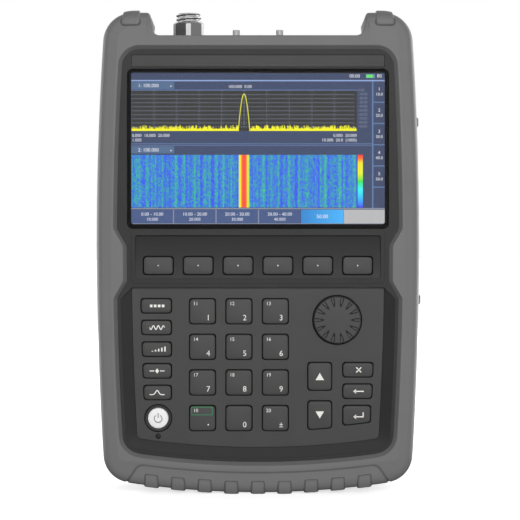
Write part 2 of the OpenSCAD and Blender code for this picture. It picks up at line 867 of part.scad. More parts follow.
module rear_case() {
    color(case_color)
        difference() {
            union() {
                difference() {
                    case_shell(parting_d, back_d);
                    case_room(parting_d - 1, inside_back_d);
                }
                intersection() {
                    slab(parting_d, inside_back_d + 0.5)
                        at_screws() circle(boss_r);
                    case_shell(parting_d, back_d);
                }
                slab(main_board_d + board_t, inside_back_d + 0.5)
                    at_main_posts() circle(3.5);
                slab(battery_d - 2, back_d)
                    translate([0, battery_z])
                        soft_rect(battery_w + 5, battery_h + 5, 3);
                for (s = [-1, 1])
                    side_slab(s * (stand_w / 2 + 3) - 2.5, s * (stand_w / 2 + 3) + 2.5) {
                        translate([stand_axis_d, stand_z])
                            circle(2.2);
                        translate([back_d - 0.5, stand_z - 2.2])
                            square([stand_axis_d - back_d + 0.5, 4.4]);
                    }
            }
            slab(parting_d - 1, parting_d + 1)
                difference() {
                    polygon(mirrored(case_half(fit + 0.8)));
                    polygon(mirrored(case_half(fit + 1.7)));
                }
            slab(parting_d - 1, back_d + 1)
                at_screws() circle(screw_r + 0.2);
            slab(screw_head_d, back_d + 1)
                at_screws() circle(screw_r * 2 + 0.2);
            slab(battery_d - seat, back_d + 1)
                translate([0, battery_z])
                    soft_rect(battery_w + 2 * seat, battery_h + 2 * seat, 2);
            slab(back_d - battery_door_t, back_d + 1)
                translate([0, battery_z])
                    soft_rect(battery_door_w + 2 * seat, battery_door_h + 2 * seat, 3);
            bar_x(-stand_w / 2 - 10, stand_w / 2 + 10, stand_axis_d, stand_z,
                  stand_pin_r + running_fit);
            at_rf(-2 * case_wall) cylinder(h = 3 * case_wall, r = rf_body_r + seat);
            for (s = [-1, 1])
                at_top(s * aux_x, -2 * case_wall)
                    cylinder(h = 3 * case_wall, r = aux_body_r + seat);
            port_window(door_upper_z);
            port_window(door_lower_z);
        }
}

screw_head_d = back_d - 3;
screw_head_t = 2;

module case_screws() {
    length = screw_head_d + screw_head_t - parting_d + screw_bite;
    color(metal_color)
        for (z = screw_heights)
            for (s = [-1, 1])
                facing_front(s * screw_x(z), z, screw_head_d + screw_head_t) {
                    cylinder(h = screw_head_t, r = screw_r * 2);
                    cylinder(h = length, r = screw_r);
                }
}

module case_seal() {
    color(boot_color)
        slab(parting_d, parting_d + 1)
            difference() {
                polygon(mirrored(case_half(fit + 0.9)));
                polygon(mirrored(case_half(fit + 1.6)));
            }
}

// Display

module nameplate() {
    color(plate_color)
        slab(bezel_d - 0.2, bezel_d + nameplate_t - 0.2)
            translate([0, nameplate_top_z - nameplate_h / 2])
                soft_rect(lcd_w, nameplate_h, 0.7);
}

module display_lens() {
    color([0.05, 0.06, 0.08])
        slab(lens_d, lens_back_d)
            translate([0, lcd_z])
                soft_rect(lens_w, lens_h, lens_r - fit);
}

module display_gasket() {
    color([0.1, 0.1, 0.1])
        slab(plate_back_d, lcd_d)
            translate([0, lcd_z])
                difference() {
                    square([lens_w, lens_h], center = true);
                    square([lcd_w + 0.6, lcd_h + 0.6], center = true);
                }
}

module lcd_module() {
    color([0.2, 0.25, 0.35])
        slab(lcd_d, lcd_back_d)
            translate([0, lcd_z])
                square([lens_w + 1, lens_h], center = true);
}

module display_frame() {
    color(metal_color)
        slab(lcd_back_d, lcd_back_d + frame_t)
            translate([0, lcd_z])
                difference() {
                    soft_rect(2 * frame_post_x + 2 * post_r, lens_h, 2);
                    soft_rect(lcd_w - 20, lcd_h - 20, 4);
                }
}

// Keypad

// Outlines of the key openings; e is the distance inside the opening
function box_outline(x, z, w, h, e) =
    rounded([[x - w / 2 + e, z - h / 2 + e], [x + w / 2 - e, z - h / 2 + e],
             [x + w / 2 - e, z + h / 2 - e], [x - w / 2 + e, z + h / 2 - e]],
            max(0.4, key_r - e), 4);

function softkey_outline(i, e) =
    box_outline((i - (softkey_count - 1) / 2) * softkey_pitch, softkey_z, softkey_w, softkey_h, e);

function number_outline(i, e) =
    box_outline(number_x + (i % 3 - 1) * number_pitch,
                number_top_z - floor(i / 3) * number_row, number_w, number_h, e);

// A function key whose outer edge follows the plate; side is -1 on the left and 1 on the right
function side_outline(side, inner_x, z, h, e) =
    let (
        low = z - h / 2 + e,
        high = z + h / 2 - e,
        corners = [[inner_x + e, low],
                   [side_x(low, panel_in + side_key_margin) - e, low],
                   [side_x(high, panel_in + side_key_margin) - e, high],
                   [inner_x + e, high]]
    )
    rounded([for (p = corners) [side * p.x, p.y]], max(0.4, key_r - e), 4);

function left_outline(i, e) = side_outline(-1, left_key_x, left_top_z - i * left_row, side_key_h, e);

function low_edge(x, e) = base_z(x, panel_in + base_lip_extra + low_key_margin + e);

// The enter key's lower edge follows the plate's base
function enter_outline(e) =
    let (
        x1 = right_key_x + e,
        high = enter_z + 6.35 - e,
        x2 = side_x(enter_z, panel_in + side_key_margin) - e - 0.3
    )
    rounded([[x1, low_edge(x1, e)], [x2, low_edge(x2, e)], [x2 + 0.3, high], [x1, high]],
            max(0.4, key_r - e), 4);

function up_outline(e) = box_outline(arrow_x, arrow_up_z, arrow_w, arrow_h, e);

function down_outline(e) =
    let (
        x1 = arrow_x - arrow_w / 2 + e,
        x2 = arrow_x + arrow_w / 2 - e,
        high = arrow_down_z + arrow_h / 2 - e
    )
    rounded([[x1, low_edge(x1, e - 0.8)], [x2, low_edge(x2, e - 0.8)], [x2, high], [x1, high]],
            max(0.4, key_r - e), 4);

module panel_openings() {
    for (i = [0:11])
        polygon(number_outline(i, 0));
    for (i = [0:4])
        polygon(left_outline(i, 0));
    polygon(side_outline(1, right_key_x, escape_z, side_key_h, 0));
    polygon(side_outline(1, right_key_x, back_key_z, side_key_h, 0));
    polygon(enter_outline(0));
    polygon(up_outline(0));
    polygon(down_outline(0));
    translate([power_x, power_z])
        circle(power_well_r + seat);
    translate([power_x, led_z])
        circle(led_r + 0.05);
}

module keypad_panel() {
    color(plate_color)
        difference() {
            union() {
                slab(panel_d, plate_back_d - 0.05)
                    polygon(mirrored(keypad_half(panel_in + seat)));
                slab(panel_d + 0.5, well_d + well_floor_t)
                    translate([knob_x, knob_z])
                        circle(well_r + well_wall);
            }
            slab(panel_d - 1, plate_back_d + 1)
                panel_openings();
            slab(panel_d - 1, well_d)
                translate([knob_x, knob_z])
                    circle(well_r);
            slab(panel_d, well_d + well_floor_t + 1)
                translate([knob_x, knob_z])
                    circle(shaft_r + 0.3);
        }
}

// A key: its face inside the opening and a flange behind the plate
module key_body(face, flange, face_d) {
    color(key_color) {
        slab(face_d, plate_back_d + key_flange_t)
            polygon(face);
        slab(plate_back_d, plate_back_d + key_flange_t)
            polygon(flange);
    }
}

key_face_d = panel_d - key_proud;
softkey_face_d = bezel_d + 0.2;
flange_out = -0.5;

module number_key(i) {
    key_body(number_outline(i, key_gap), number_outline(i, flange_out), key_face_d);
}

module left_key(i) {
    key_body(left_outline(i, key_gap), left_outline(i, flange_out), key_face_d);
}

module softkey(i) {
    key_body(softkey_outline(i, key_gap), softkey_outline(i, flange_out), softkey_face_d);
}

module right_key(z) {
    key_body(side_outline(1, right_key_x, z, side_key_h, key_gap),
             side_outline(1, right_key_x, z, side_key_h, flange_out), key_face_d);
}

module power_collar() {
    color(case_color)
        difference() {
            slab(panel_d - 0.4, plate_back_d)
                translate([power_x, power_z])
                    circle(power_well_r);
            slab(panel_d - 1, plate_back_d + 1)
                translate([power_x, power_z])
                    circle(power_r + fit);
        }
}

module power_button() {
    color([0.9, 0.9, 0.9]) {
        slab(key_face_d, plate_back_d + key_flange_t)
            translate([power_x, power_z])
                circle(power_r);
        slab(plate_back_d + seat, plate_back_d + key_flange_t)
            translate([power_x, power_z])
                circle(power_r + 1);
    }
}

module status_led() {
    color([0.8, 0.8, 0.8])
        slab(panel_d - 0.2, board_d)
            translate([power_x, led_z])
                circle(led_r);
}

module keypad_mat() {
    low_z = panel_bottom_z + 4.8;
    color([0.2, 0.2, 0.2])
        slab(mat_d, board_d)
            difference() {
                translate([-board_post_x + post_r + 0.3, low_z])
                    square([2 * (board_post_x - post_r - 0.3), tray_top_z - 10 - low_z]);
                translate([knob_x, knob_z])
                    circle(well_r + well_wall + 1);
                translate([power_x, led_z])
                    circle(led_r + 0.4);
            }
}

module keypad_board() {
    low_z = panel_bottom_z + 4.8;
    color(board_color)
        slab(board_d, board_back_d)
            difference() {
                translate([-board_post_x - post_r, low_z])
                    square([2 * (board_post_x + post_r), tray_top_z - 10 - low_z]);
                translate([knob_x, knob_z])
                    circle(bushing_r + 0.2);
            }
}

// Knob and encoder

bushing_r = shaft_r + 0.9;
knob_back_d = well_d - 0.4;
knob_front_d = panel_d - knob_h;
shaft_front_d = knob_front_d + 2;
encoder_t = 7;

module knob() {
    height = knob_back_d - knob_front_d;
    skirt = height - knob_h + 0.5;
    lean = atan2(knob_r - knob_top_r, height - skirt);
    color(key_color)
        facing_front(knob_x, knob_z, knob_back_d)
            difference() {
                rotate_extrude()
                    polygon(concat(
                        [[0, 0], [knob_r, 0]],
                        [for (k = [0:6])
                            let (a = 90 * k / 6)
                            [knob_top_r + (knob_r - knob_top_r) * cos(a),
                             skirt + (height - skirt) * sin(a)]],
                        [[0, height]]));
                translate([0, 0, -1])
                    cylinder(h = knob_back_d - shaft_front_d + 1, r = shaft_r + 0.02);
                for (i = [0:flute_count - 1])
                    rotate([0, 0, 360 * (i + 0.5) / flute_count + 90])
                        translate([knob_r + 0.5, 0, skirt + 0.5])
                            rotate([0, -lean, 0])
                                translate([0, 0, -8])
                                    cylinder(h = 24, r = flute_r);
            }
}

module encoder_shaft() {
    color(metal_color)
        facing_front(knob_x, knob_z, board_back_d + encoder_t - 2)
            cylinder(h = board_back_d + encoder_t - 2 - shaft_front_d, r = shaft_r);
}

module encoder_body() {
    color([0.3, 0.32, 0.35])
        difference() {
            union() {
                slab(board_back_d, board_back_d + encoder_t)
                    translate([knob_x, knob_z])
                        square(14, center = true);
                slab(well_d + well_floor_t + seat, board_back_d + 1)
                    translate([knob_x, knob_z])
                        circle(bushing_r);
            }
            slab(well_d, board_back_d + encoder_t - 2 + 0.3)
                translate([knob_x, knob_z])
                    circle(shaft_r + running_fit);
        }
}

// Inside the case

module at_main_posts() {
    for (z = [main_board_low_z + 6, main_board_low_z + main_board_h - 6])
        for (s = [-1, 1])
            translate([s * (main_board_w / 2 - 6), z])
                children();
}

module main_board() {
    color(board_color)
        slab(main_board_d, main_board_d + board_t)
            translate([-main_board_w / 2, main_board_low_z])
                square([main_board_w, main_board_h]);
}

module rf_module() {
    color(metal_color)
        slab(main_board_d + board_t, main_board_d + board_t + rf_module_t)
            translate([0, main_board_low_z + main_board_h - rf_module_drop])
                soft_rect(rf_module_w, rf_module_h, 2);
}

module battery_pack() {
    color([0.12, 0.12, 0.13])
        slab(battery_d, battery_d + battery_t)
            translate([0, battery_z])
                soft_rect(battery_w, battery_h, 2 - seat);
}

module battery_door() {
    color(case_color)
        difference() {
            slab(back_d - battery_door_t + seat, back_d)
                translate([0, battery_z])
                    soft_rect(battery_door_w, battery_door_h, 3 - seat);
            for (s = [-1, 1])
                slab(back_d - 1, back_d + 1)
                    translate([s * battery_w * 0.3, battery_z - battery_h * 0.3])
                        soft_rect(18, 3, 1.4);
        }
}

// Kickstand

// A plate with a shallow recess in its outer face
module kickstand() {
    taper = 8;
    border = 18;
    recess = 1.2;
    front = stand_axis_d - stand_barrel_r;
    color(case_color) {
        difference() {
            slab(front, front + stand_t)
                polygon(rounded([[-stand_w / 2, stand_z],
                                 [-stand_w / 2 + taper, stand_z - stand_len],
                                 [stand_w / 2 - taper, stand_z - stand_len],
                                 [stand_w / 2, stand_z]],
                                0.2, 1));
            slab(front + stand_t - recess, front + stand_t + 1)
                translate([0, stand_z - stand_len / 2])
                    soft_rect(stand_w - 2 * border, stand_len - 2 * border, 4);
        }
        bar_x(-stand_w / 2, stand_w / 2, stand_axis_d, stand_z, stand_barrel_r);
        bar_x(-stand_w / 2 - 5, stand_w / 2 + 5, stand_axis_d, stand_z, stand_pin_r);
    }
}

// Port doors and ports

module port_door(z) {
    color(boot_color)
        at_door(z) {
            translate([-door_t - 0.2, -door_w, -door_h / 2])
                cube([door_t, door_w, door_h]);
            translate([-door_axis_in, 0, -door_h / 2])
                cylinder(h = door_h, r = 1.9);
            translate([-door_axis_in, 0, -door_h / 2 - 2.5])
                cylinder(h = door_h + 5, r = door_pin_r);
            translate([-1, -door_w + 2, -3])
                cube([1.8, 7, 6]);
        }
}

port_h = 34;
port_w = 20;
port_t = 14;
port_sink = 0.6;
socket_depth = 9;
socket_reach = 12;
usb_w = 12.4;
usb_h = 4.8;
tongue_t = 2;
tongue_len = 8;
phone_r = 1.75;
supply_r = 2.8;
supply_pin_r = 1;

module port_window(z) {
    at_door(z)
        translate([-boot_wall - 8, -door_w / 2 - port_w / 2 - seat, -port_h / 2 - seat])
            cube([12, port_w + 2 * seat, port_h + 2 * seat]);
}

module port_block(z) {
    at_door(z)
        translate([-port_in - port_sink - port_t, -door_w / 2 - port_w / 2, -port_h / 2])
            cube([port_t, port_w, port_h]);
}

// A USB socket: a slot with a tongue left in it
module usb_cut(z) {
    side = 0.7;
    translate([-port_in - socket_depth, -door_w / 2 - usb_w / 2, z - usb_h / 2])
        difference() {
            cube([socket_reach, usb_w, usb_h]);
            translate([-1, side, (usb_h - tongue_t) / 2])
                cube([tongue_len, usb_w - 2 * side, tongue_t]);
        }
}

module usb_ports() {
    color(metal_color)
        difference() {
            port_block(door_upper_z);
            at_door(door_upper_z) {
                usb_cut(9.5);
                usb_cut(0);
                translate([-port_in - socket_depth, -door_w / 2, -10])
                    rotate([0, 90, 0])
                        cylinder(h = socket_reach, r = phone_r);
            }
        }
}

module power_ports() {
    color(metal_color)
        difference() {
            port_block(door_lower_z);
            at_door(door_lower_z) {
                translate([-port_in - socket_depth, -door_w / 2, 7])
                    rotate([0, 90, 0])
                        difference() {
                            cylinder(h = socket_reach, r = supply_r);
                            translate([0, 0, -1])
                                cylinder(h = tongue_len, r = supply_pin_r);
                        }
                usb_cut(-8);
            }
        }
}

// Top panel and connectors

top_panel_t = 1.5;
rf_body_r = 7;
rf_body_len = 16;
rf_washer_t = 1.2;
rf_socket_r = 4.1;
rf_socket_depth = 9;
rf_pin_r = 1.5;
aux_body_r = 2.5;
aux_body_len = 12;
aux_hex_r = 4;
aux_hex_h = 3;
aux_socket_depth = 4;
aux_pin_r = 0.5;

// Places a connector on the case's top, h above it
module at_top(x, h) {
    translate([x, 0, case_top_z + h])
        children();
}

module at_rf(h) {
    at_top(rf_x, h)
        children();
}

module top_panel() {
    margin = 2;
    front = front_y + parting_d + margin;
    half_w = bay_half_w - margin;
    color(metal_color)
        difference() {
            translate([-half_w, front, case_top_z])
                cube([2 * half_w, body_d / 2 - bay_margin - margin - front, top_panel_t]);
            at_rf(-top_panel_t) cylinder(h = 3 * top_panel_t, r = rf_body_r + seat);
            for (s = [-1, 1])
                at_top(s * aux_x, -top_panel_t) cylinder(h = 3 * top_panel_t, r = aux_body_r + seat);
        }
}

module rf_connector() {
    nut_top = top_panel_t + rf_nut_h;
    color(metal_color)
        at_rf(0)
            difference() {
                union() {
                    translate([0, 0, -rf_body_len])
                        cylinder(h = rf_body_len + 2 * top_panel_t, r = rf_body_r);
                    translate([0, 0, top_panel_t])
                        cylinder(h = rf_washer_t, r = rf_nut_af / 2 + rf_washer_t);
                    intersection() {
                        rotate([0, 0, 30])
                            translate([0, 0, top_panel_t])
                                cylinder(h = rf_nut_h, r = rf_nut_af / sqrt(3), $fn = 6);
                        translate([0, 0, top_panel_t - 1])
                            cylinder(h = rf_nut_h + 2, r = 1.1 * rf_nut_af / sqrt(3), $fn = 6);
                    }
                    translate([0, 0, nut_top - 1])
                        cylinder(h = rf_thread_h + 1, r = rf_thread_r);
                }
                translate([0, 0, nut_top + rf_thread_h - rf_socket_depth])
                    difference() {
                        cylinder(h = rf_socket_depth + 1, r = rf_socket_r);
                        translate([0, 0, -1])
                            cylinder(h = rf_socket_depth - 1, r = rf_pin_r);
                    }
            }
}

module aux_connectors() {
    color(metal_color)
        for (s = [-1, 1])
            at_top(s * aux_x, 0)
                difference() {
                    union() {
                        translate([0, 0, -aux_body_len])
                            cylinder(h = aux_body_len + top_panel_t + 0.5, r = aux_body_r);
                        translate([0, 0, top_panel_t])
                            cylinder(h = aux_hex_h, r = aux_hex_r, $fn = 6);
                        translate([0, 0, top_panel_t])
                            cylinder(h = aux_h, r = aux_r);
                    }
                    translate([0, 0, top_panel_t + aux_h - aux_socket_depth])
                        difference() {
                            cylinder(h = aux_socket_depth + 1, r = aux_r - 0.5);
                            translate([0, 0, -1])
                                cylinder(h = aux_socket_depth, r = aux_pin_r);
                        }
                }
}

rubber_boot();
bottom_bumper();
front_case();
rear_case();
case_seal();
case_screws();
nameplate();
display_lens();
display_gasket();
lcd_module();
display_frame();
keypad_panel();
for (i = [0:11]) number_key(i);
for (i = [0:4]) left_key(i);
for (i = [0:softkey_count - 1]) softkey(i);
right_key(escape_z);  // key_escape
right_key(back_key_z);  // key_back
key_body(enter_outline(key_gap), enter_outline(flange_out), key_face_d);  // key_enter
key_body(up_outline(key_gap), up_outline(flange_out), key_face_d);  // key_up
key_body(down_outline(key_gap), down_outline(flange_out), key_face_d);  // key_down
power_button();
power_collar();
status_led();
knob();
encoder_shaft();
encoder_body();
keypad_mat();
keypad_board();
main_board();
rf_module();
battery_pack();
battery_door();
kickstand();
port_door(door_upper_z);  // port_door_upper
port_door(door_lower_z);  // port_door_lower
usb_ports();
power_ports();
top_panel();
rf_connector();
aux_connectors();
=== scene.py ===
"""Looks of a handheld spectrum analyzer: finished pieces, materials, light and camera in the CAD frame."""

import math
import random

import bmesh
import bpy
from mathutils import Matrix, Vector


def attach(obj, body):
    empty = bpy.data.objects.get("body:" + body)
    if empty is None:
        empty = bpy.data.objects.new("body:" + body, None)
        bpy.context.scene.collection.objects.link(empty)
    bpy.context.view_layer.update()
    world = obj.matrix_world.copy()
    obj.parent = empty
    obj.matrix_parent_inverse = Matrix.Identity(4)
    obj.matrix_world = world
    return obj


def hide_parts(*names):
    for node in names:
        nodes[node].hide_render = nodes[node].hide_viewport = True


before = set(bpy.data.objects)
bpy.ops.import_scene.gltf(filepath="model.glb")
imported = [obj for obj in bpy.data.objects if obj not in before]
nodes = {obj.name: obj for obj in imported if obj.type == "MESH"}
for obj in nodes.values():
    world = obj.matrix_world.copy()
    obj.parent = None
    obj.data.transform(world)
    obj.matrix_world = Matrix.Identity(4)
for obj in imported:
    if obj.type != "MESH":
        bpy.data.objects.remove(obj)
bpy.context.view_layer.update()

# Sizes in millimetres, as in the CAD source. Names ending in _d are depths behind the boot's front face.
MM = 0.001
body_w, body_h, body_d = 194.4, 290.4, 74.0
front_y = -body_d / 2
middle_d = body_d / 2
side_bow_r, widest_z, base_bow_r = 1950.0, 150.0, 540.0
base_corner_r, top_corner_r = 17.0, 18.0
boot_wall, base_wall, rear_lip_t = 5.0, 9.0, 5.0
back_d = body_d - rear_lip_t
lip_in, bezel_in, panel_in = 9.7, 11.9, 20.5
base_lip_extra, top_lip_less, front_corner = 6.2, 3.8, 23.5
edge_r, crown, boot_grow, base_reach = 5.0, 0.7, 0.5, 1.5
top_z = 277.0
horn_top, horn_round = body_h + 0.75, 5.5
horn_tip_x, horn_foot_x = 65.5, 63.2
waist_z, waist_depth, waist_h, waist_ramp = 139.2, 5.9, 21.6, 10.2
pad_x, pad_w, pad_lean, pad_low = 71.2, 11.2, 0.9, 283.1
pad_t, pad_reach, pad_corner_r = 1.3, 15.0, 1.8
rib_h, rib_count, rib_pitch, rib_w = 1.2, 9, 16.075, 8.0
rib_face_h, rib_proud, rib_edge = 7.0, 0.15, 0.7
rib_turn = math.radians(42)
seam_h, seam_half_w, seam_gap = 11.4, 71.5, 1.0
sole_t, flange_t = 3.5, 2.0
bezel_d, panel_d, plate_back_d = 3.0, 6.0, 8.0
case_top_z, top_panel_t = 271.85, 1.5
door_z = {"upper": 226.0, "lower": 117.0}
door_w, door_h, door_gap, hinge_room = 28.0, 44.0, 0.3, 1.9

# Steps along the outlines of the boot
base_steps, corner_steps, side_steps = 28, 12, 12
waist_steps, tip_steps, foot_steps, edge_steps = 6, 5, 8, 8


def set_all(thing, **settings):
    """Sets several properties of a Blender thing."""
    for name, value in settings.items():
        setattr(thing, name, value)
    return thing


# Materials

drift_mm, relief_mm, rough_spread = 18.0, 0.05, 0.06
coat_rough, coat_ior = 0.35, 2.2
display_spread, display_grain_mm, room_share = 6, 1.2, 0.25


def linear(level):
    """A display level from 0 to 255 as linear light."""
    c = level / 255
    return c / 12.92 if c <= 0.04045 else ((c + 0.055) / 1.055) ** 2.4


def colour(red, green=None, blue=None):
    """A display colour, or a grey, as linear RGBA."""
    if green is None:
        green = blue = red
    return (linear(red), linear(green), linear(blue), 1.0)


def around(tone, spread):
    """Two colours, a little darker and a little lighter than a display colour."""
    return colour(*[max(0, c - spread) for c in tone]), colour(*[min(255, c + spread) for c in tone])


def add(tree, kind, inputs=None, **settings):
    """A new node with its inputs set to values or linked to sockets; gives its outputs."""
    node = set_all(tree.nodes.new(kind), **settings)
    for name, value in (inputs or {}).items():
        if isinstance(value, bpy.types.NodeSocket):
            tree.links.new(value, node.inputs[name])
        else:
            node.inputs[name].default_value = value
    return node.outputs


def new_tree(block):
    """The emptied node tree of a material or world."""
    block.use_nodes = True
    block.node_tree.nodes.clear()
    return block.node_tree


def new_material(name):
    """An empty material and its node tree."""
    material = bpy.data.materials.new(name)
    return material, new_tree(material)


def end_in_mix(tree, share, first, second, output="ShaderNodeOutputMaterial"):
    """Ends a tree in a mix of two shaders."""
    mix = add(tree, "ShaderNodeMixShader", {"Fac": share, 1: first, 2: second})
    add(tree, output, {"Surface": mix["Shader"]})


def grain(tree, size_mm, detail=3.0, stretch=None):
    """Noise that is fixed to the piece, with features of about size_mm."""
    place = add(tree, "ShaderNodeTexCoord")["Object"]
    if stretch:
        place = add(tree, "ShaderNodeMapping", {"Vector": place, "Scale": stretch})["Vector"]
    noise = {"Vector": place, "Scale": 1 / (size_mm * MM), "Detail": detail}
    return add(tree, "ShaderNodeTexNoise", noise)["Fac"]


def blended(tree, factor, first, second):
    """A colour between two, by a factor socket."""
    return add(tree, "ShaderNodeMix", {"Factor": factor, "A": first, "B": second}, data_type="RGBA")["Result"]


def ranged(tree, value, low, high, start=0.0, end=1.0):
    """A socket that runs from start to end, spread between low and high."""
    limits = {"Value": value, "From Min": start, "From Max": end, "To Min": low, "To Max": high}
    return add(tree, "ShaderNodeMapRange", limits)["Result"]


def calc(tree, operation, *values):
    """A sum on sockets and plain numbers."""
    return add(tree, "ShaderNodeMath", dict(enumerate(values)), operation=operation)["Value"]


def evenly(tree, first, second):
    """The mean of two noises."""
    return calc(tree, "MULTIPLY_ADD", first, 0.5, ranged(tree, second, 0.0, 0.5))


def places(tree, source="Object"):
    """The X, Y and Z sockets of a place on the piece, or of a direction in the world."""
    return add(tree, "ShaderNodeSeparateXYZ", {"Vector": add(tree, "ShaderNodeTexCoord")[source]})


def shaded_recess(tree, tone, start_z, end_z, depth, level):
    """Painted light and shade: a colour that turns to a darker or lighter level from one height to another,
    on what lies deeper than a depth.
    """
    place = places(tree)
    rise = ranged(tree, place["Z"], 0.0, 1.0, start_z * MM, end_z * MM)
    below = calc(tree, "LESS_THAN", place["Z"], (max(start_z, end_z) + 1) * MM)
    deep = calc(tree, "GREATER_THAN", place["Y"], (front_y + depth) * MM)
    share = calc(tree, "MULTIPLY", calc(tree, "MULTIPLY", rise, below), deep)
    return blended(tree, share, tone, colour(level))


def moulded(name, level, rough, shine=0.3, grain_mm=0.7, spread=5, relief=0.12, metal=0.0, painted_shades=(),
            rim=0.0):
    """A moulded or metal surface with grain in colour, gloss and relief, a drift in tone, painted shade and
    painted light in given recesses, and glossy rims.
    """
    material, tree = new_material(name)
    tone = level if isinstance(level, tuple) else (level, level, level)
    fine = grain(tree, grain_mm)
    surface = blended(tree, evenly(tree, fine, grain(tree, drift_mm, detail=1.0)), *around(tone, spread))
    # Painted light and shade in the recesses, laid over the colour
    for recess in painted_shades:
        surface = shaded_recess(tree, surface, *recess)
    bump = add(tree, "ShaderNodeBump", {"Strength": relief, "Distance": relief_mm * MM, "Height": fine})
    inputs = {"Base Color": surface, "Normal": bump["Normal"], "Metallic": metal, "Specular IOR Level": shine,
              "Roughness": ranged(tree, fine, rough - rough_spread, rough + rough_spread)}
    if rim:
        slant = add(tree, "ShaderNodeLayerWeight", {"Blend": 0.5})
        inputs["Coat Weight"] = calc(tree, "MULTIPLY", slant["Facing"], rim)
        inputs["Coat Roughness"] = coat_rough
        inputs["Coat IOR"] = coat_ior
    shader = add(tree, "ShaderNodeBsdfPrincipled", inputs)
    add(tree, "ShaderNodeOutputMaterial", {"Surface": shader["BSDF"]})
    return material


def light_up(tree, tone):
    """A display's own light, with a little of the room's light on it."""
    own = add(tree, "ShaderNodeEmission", {"Color": tone})
    room = add(tree, "ShaderNodeBsdfDiffuse", {"Color": tone})
    end_in_mix(tree, room_share, own["Emission"], room["BSDF"])


def glowing(name, tone):
    """A lit patch of the display with a faint pixel grain."""
    material, tree = new_material(name)
    light_up(tree, blended(tree, grain(tree, display_grain_mm), *around(tone, display_spread)))
    return material


def glass(name):
    """A clear hard-coated window: it lets light through and mirrors a little."""
    material, tree = new_material(name)
    clear = add(tree, "ShaderNodeBsdfTransparent")
    mirror = add(tree, "ShaderNodeBsdfGlossy", {
        "Roughness": ranged(tree, grain(tree, 30.0), 0.05, 0.09),
        "Color": blended(tree, grain(tree, 2.0), colour(236), colour(250))})
    fresnel = add(tree, "ShaderNodeFresnel", {"IOR": 1.2})
    outside = calc(tree, "SUBTRACT", 1.0, add(tree, "ShaderNodeNewGeometry")["Backfacing"])
    end_in_mix(tree, calc(tree, "MULTIPLY", fresnel["Fac"], outside), clear["BSDF"], mirror["BSDF"])
    return material


def ramp_of(tree, share, stops):
    """A colour by a share socket, from (position, linear colour) pairs."""
    ramp = tree.nodes.new("ShaderNodeValToRGB")
    tree.links.new(share, ramp.inputs["Fac"])
    elements = ramp.color_ramp.elements
    for element, (position, tone) in zip(elements, (stops[0], stops[-1])):
        set_all(element, position=position, color=tone)
    for position, tone in stops[1:-1]:
        elements.new(position).color = tone
    return ramp.outputs["Color"]


def lit(tree, share, stops):
    """Light by a share socket, from (position, display colour) pairs."""
    light_up(tree, ramp_of(tree, share, [(position, colour(*tone)) for position, tone in stops]))


def waterfall(name, stops):
    """Signal strength on the display: columns of their own level under a fine grain."""
    material, tree = new_material(name)
    columns = grain(tree, 2.2, detail=4.0, stretch=(1.0, 0.0, 0.0))
    lit(tree, evenly(tree, grain(tree, 0.6), columns), stops)
    return material


def graded(name, axis, start, end, stops):
    """Light that changes along an axis from one place to another."""
    material, tree = new_material(name)
    lit(tree, ranged(tree, places(tree)[axis], 0.0, 1.0, start * MM, end * MM), stops)
    return material


rubber = moulded("boot_rubber", 117, 0.45, shine=0.5, grain_mm=0.5, relief=0.2, rim=1.0)
bumper_rubber = moulded("bumper_rubber", 121, 0.48, shine=0.5, grain_mm=0.5, relief=0.2)
seal_rubber = moulded("seal_rubber", 40, 0.6)
# Darker rubber for the strip in the bumper's seam: painted shade of the seam
seam_shade_rubber = moulded("seam_shade_rubber", 100, 0.6)
# Dark rubber for plates under the horn pads and the ribs: painted shade round their edges
shade_line_rubber = moulded("shade_line_rubber", 88, 0.6)
# Near black rubber for rings round the knob and the power collar: painted shade of their gaps
gap_shade_rubber = moulded("gap_shade_rubber", 22, 0.6, shine=0.2)
# A darker copy of the boot's rubber: painted shade on the lip round the front case and the horns' inner sides
lip_painted_shade = moulded("lip_painted_shade", 113, 0.5, shine=0.4, grain_mm=0.5, relief=0.2)
case_plastic = moulded("case_plastic", 51, 0.4, shine=0.5)
# Painted shade and light in recesses: the heights where each starts and ends, the depth it lies behind and
# its level
# The softkey tray gets painted shade towards its top
tray_painted_shade = (131.0, 156.2, 3.25, 30)
# The low slope under the keypad gets painted light towards its foot
low_slope_painted_light = (40.0, 30.0, 3.25, 57)
front_plastic = moulded("front_plastic", 49, 0.4, shine=0.5, painted_shades=(tray_painted_shade, low_slope_painted_light))
back_plastic = moulded("back_plastic", 66, 0.55, relief=0.3)
plate_plastic = moulded("plate_plastic", 70, 0.4, shine=0.5)
# Dark plastic for a flat line: painted shade of a groove
groove_painted_shade = moulded("line_shade", 44, 0.5)
collar_plastic = moulded("collar_plastic", 64, 0.4)
film = moulded("nameplate_film", 67, 0.4, shine=0.5, grain_mm=0.3, relief=0.05)
key_rubber = moulded("key_rubber", 72, 0.42, shine=0.5, grain_mm=0.4)
knob_rubber = moulded("knob_rubber", 74, 0.42, shine=0.5, grain_mm=0.4)
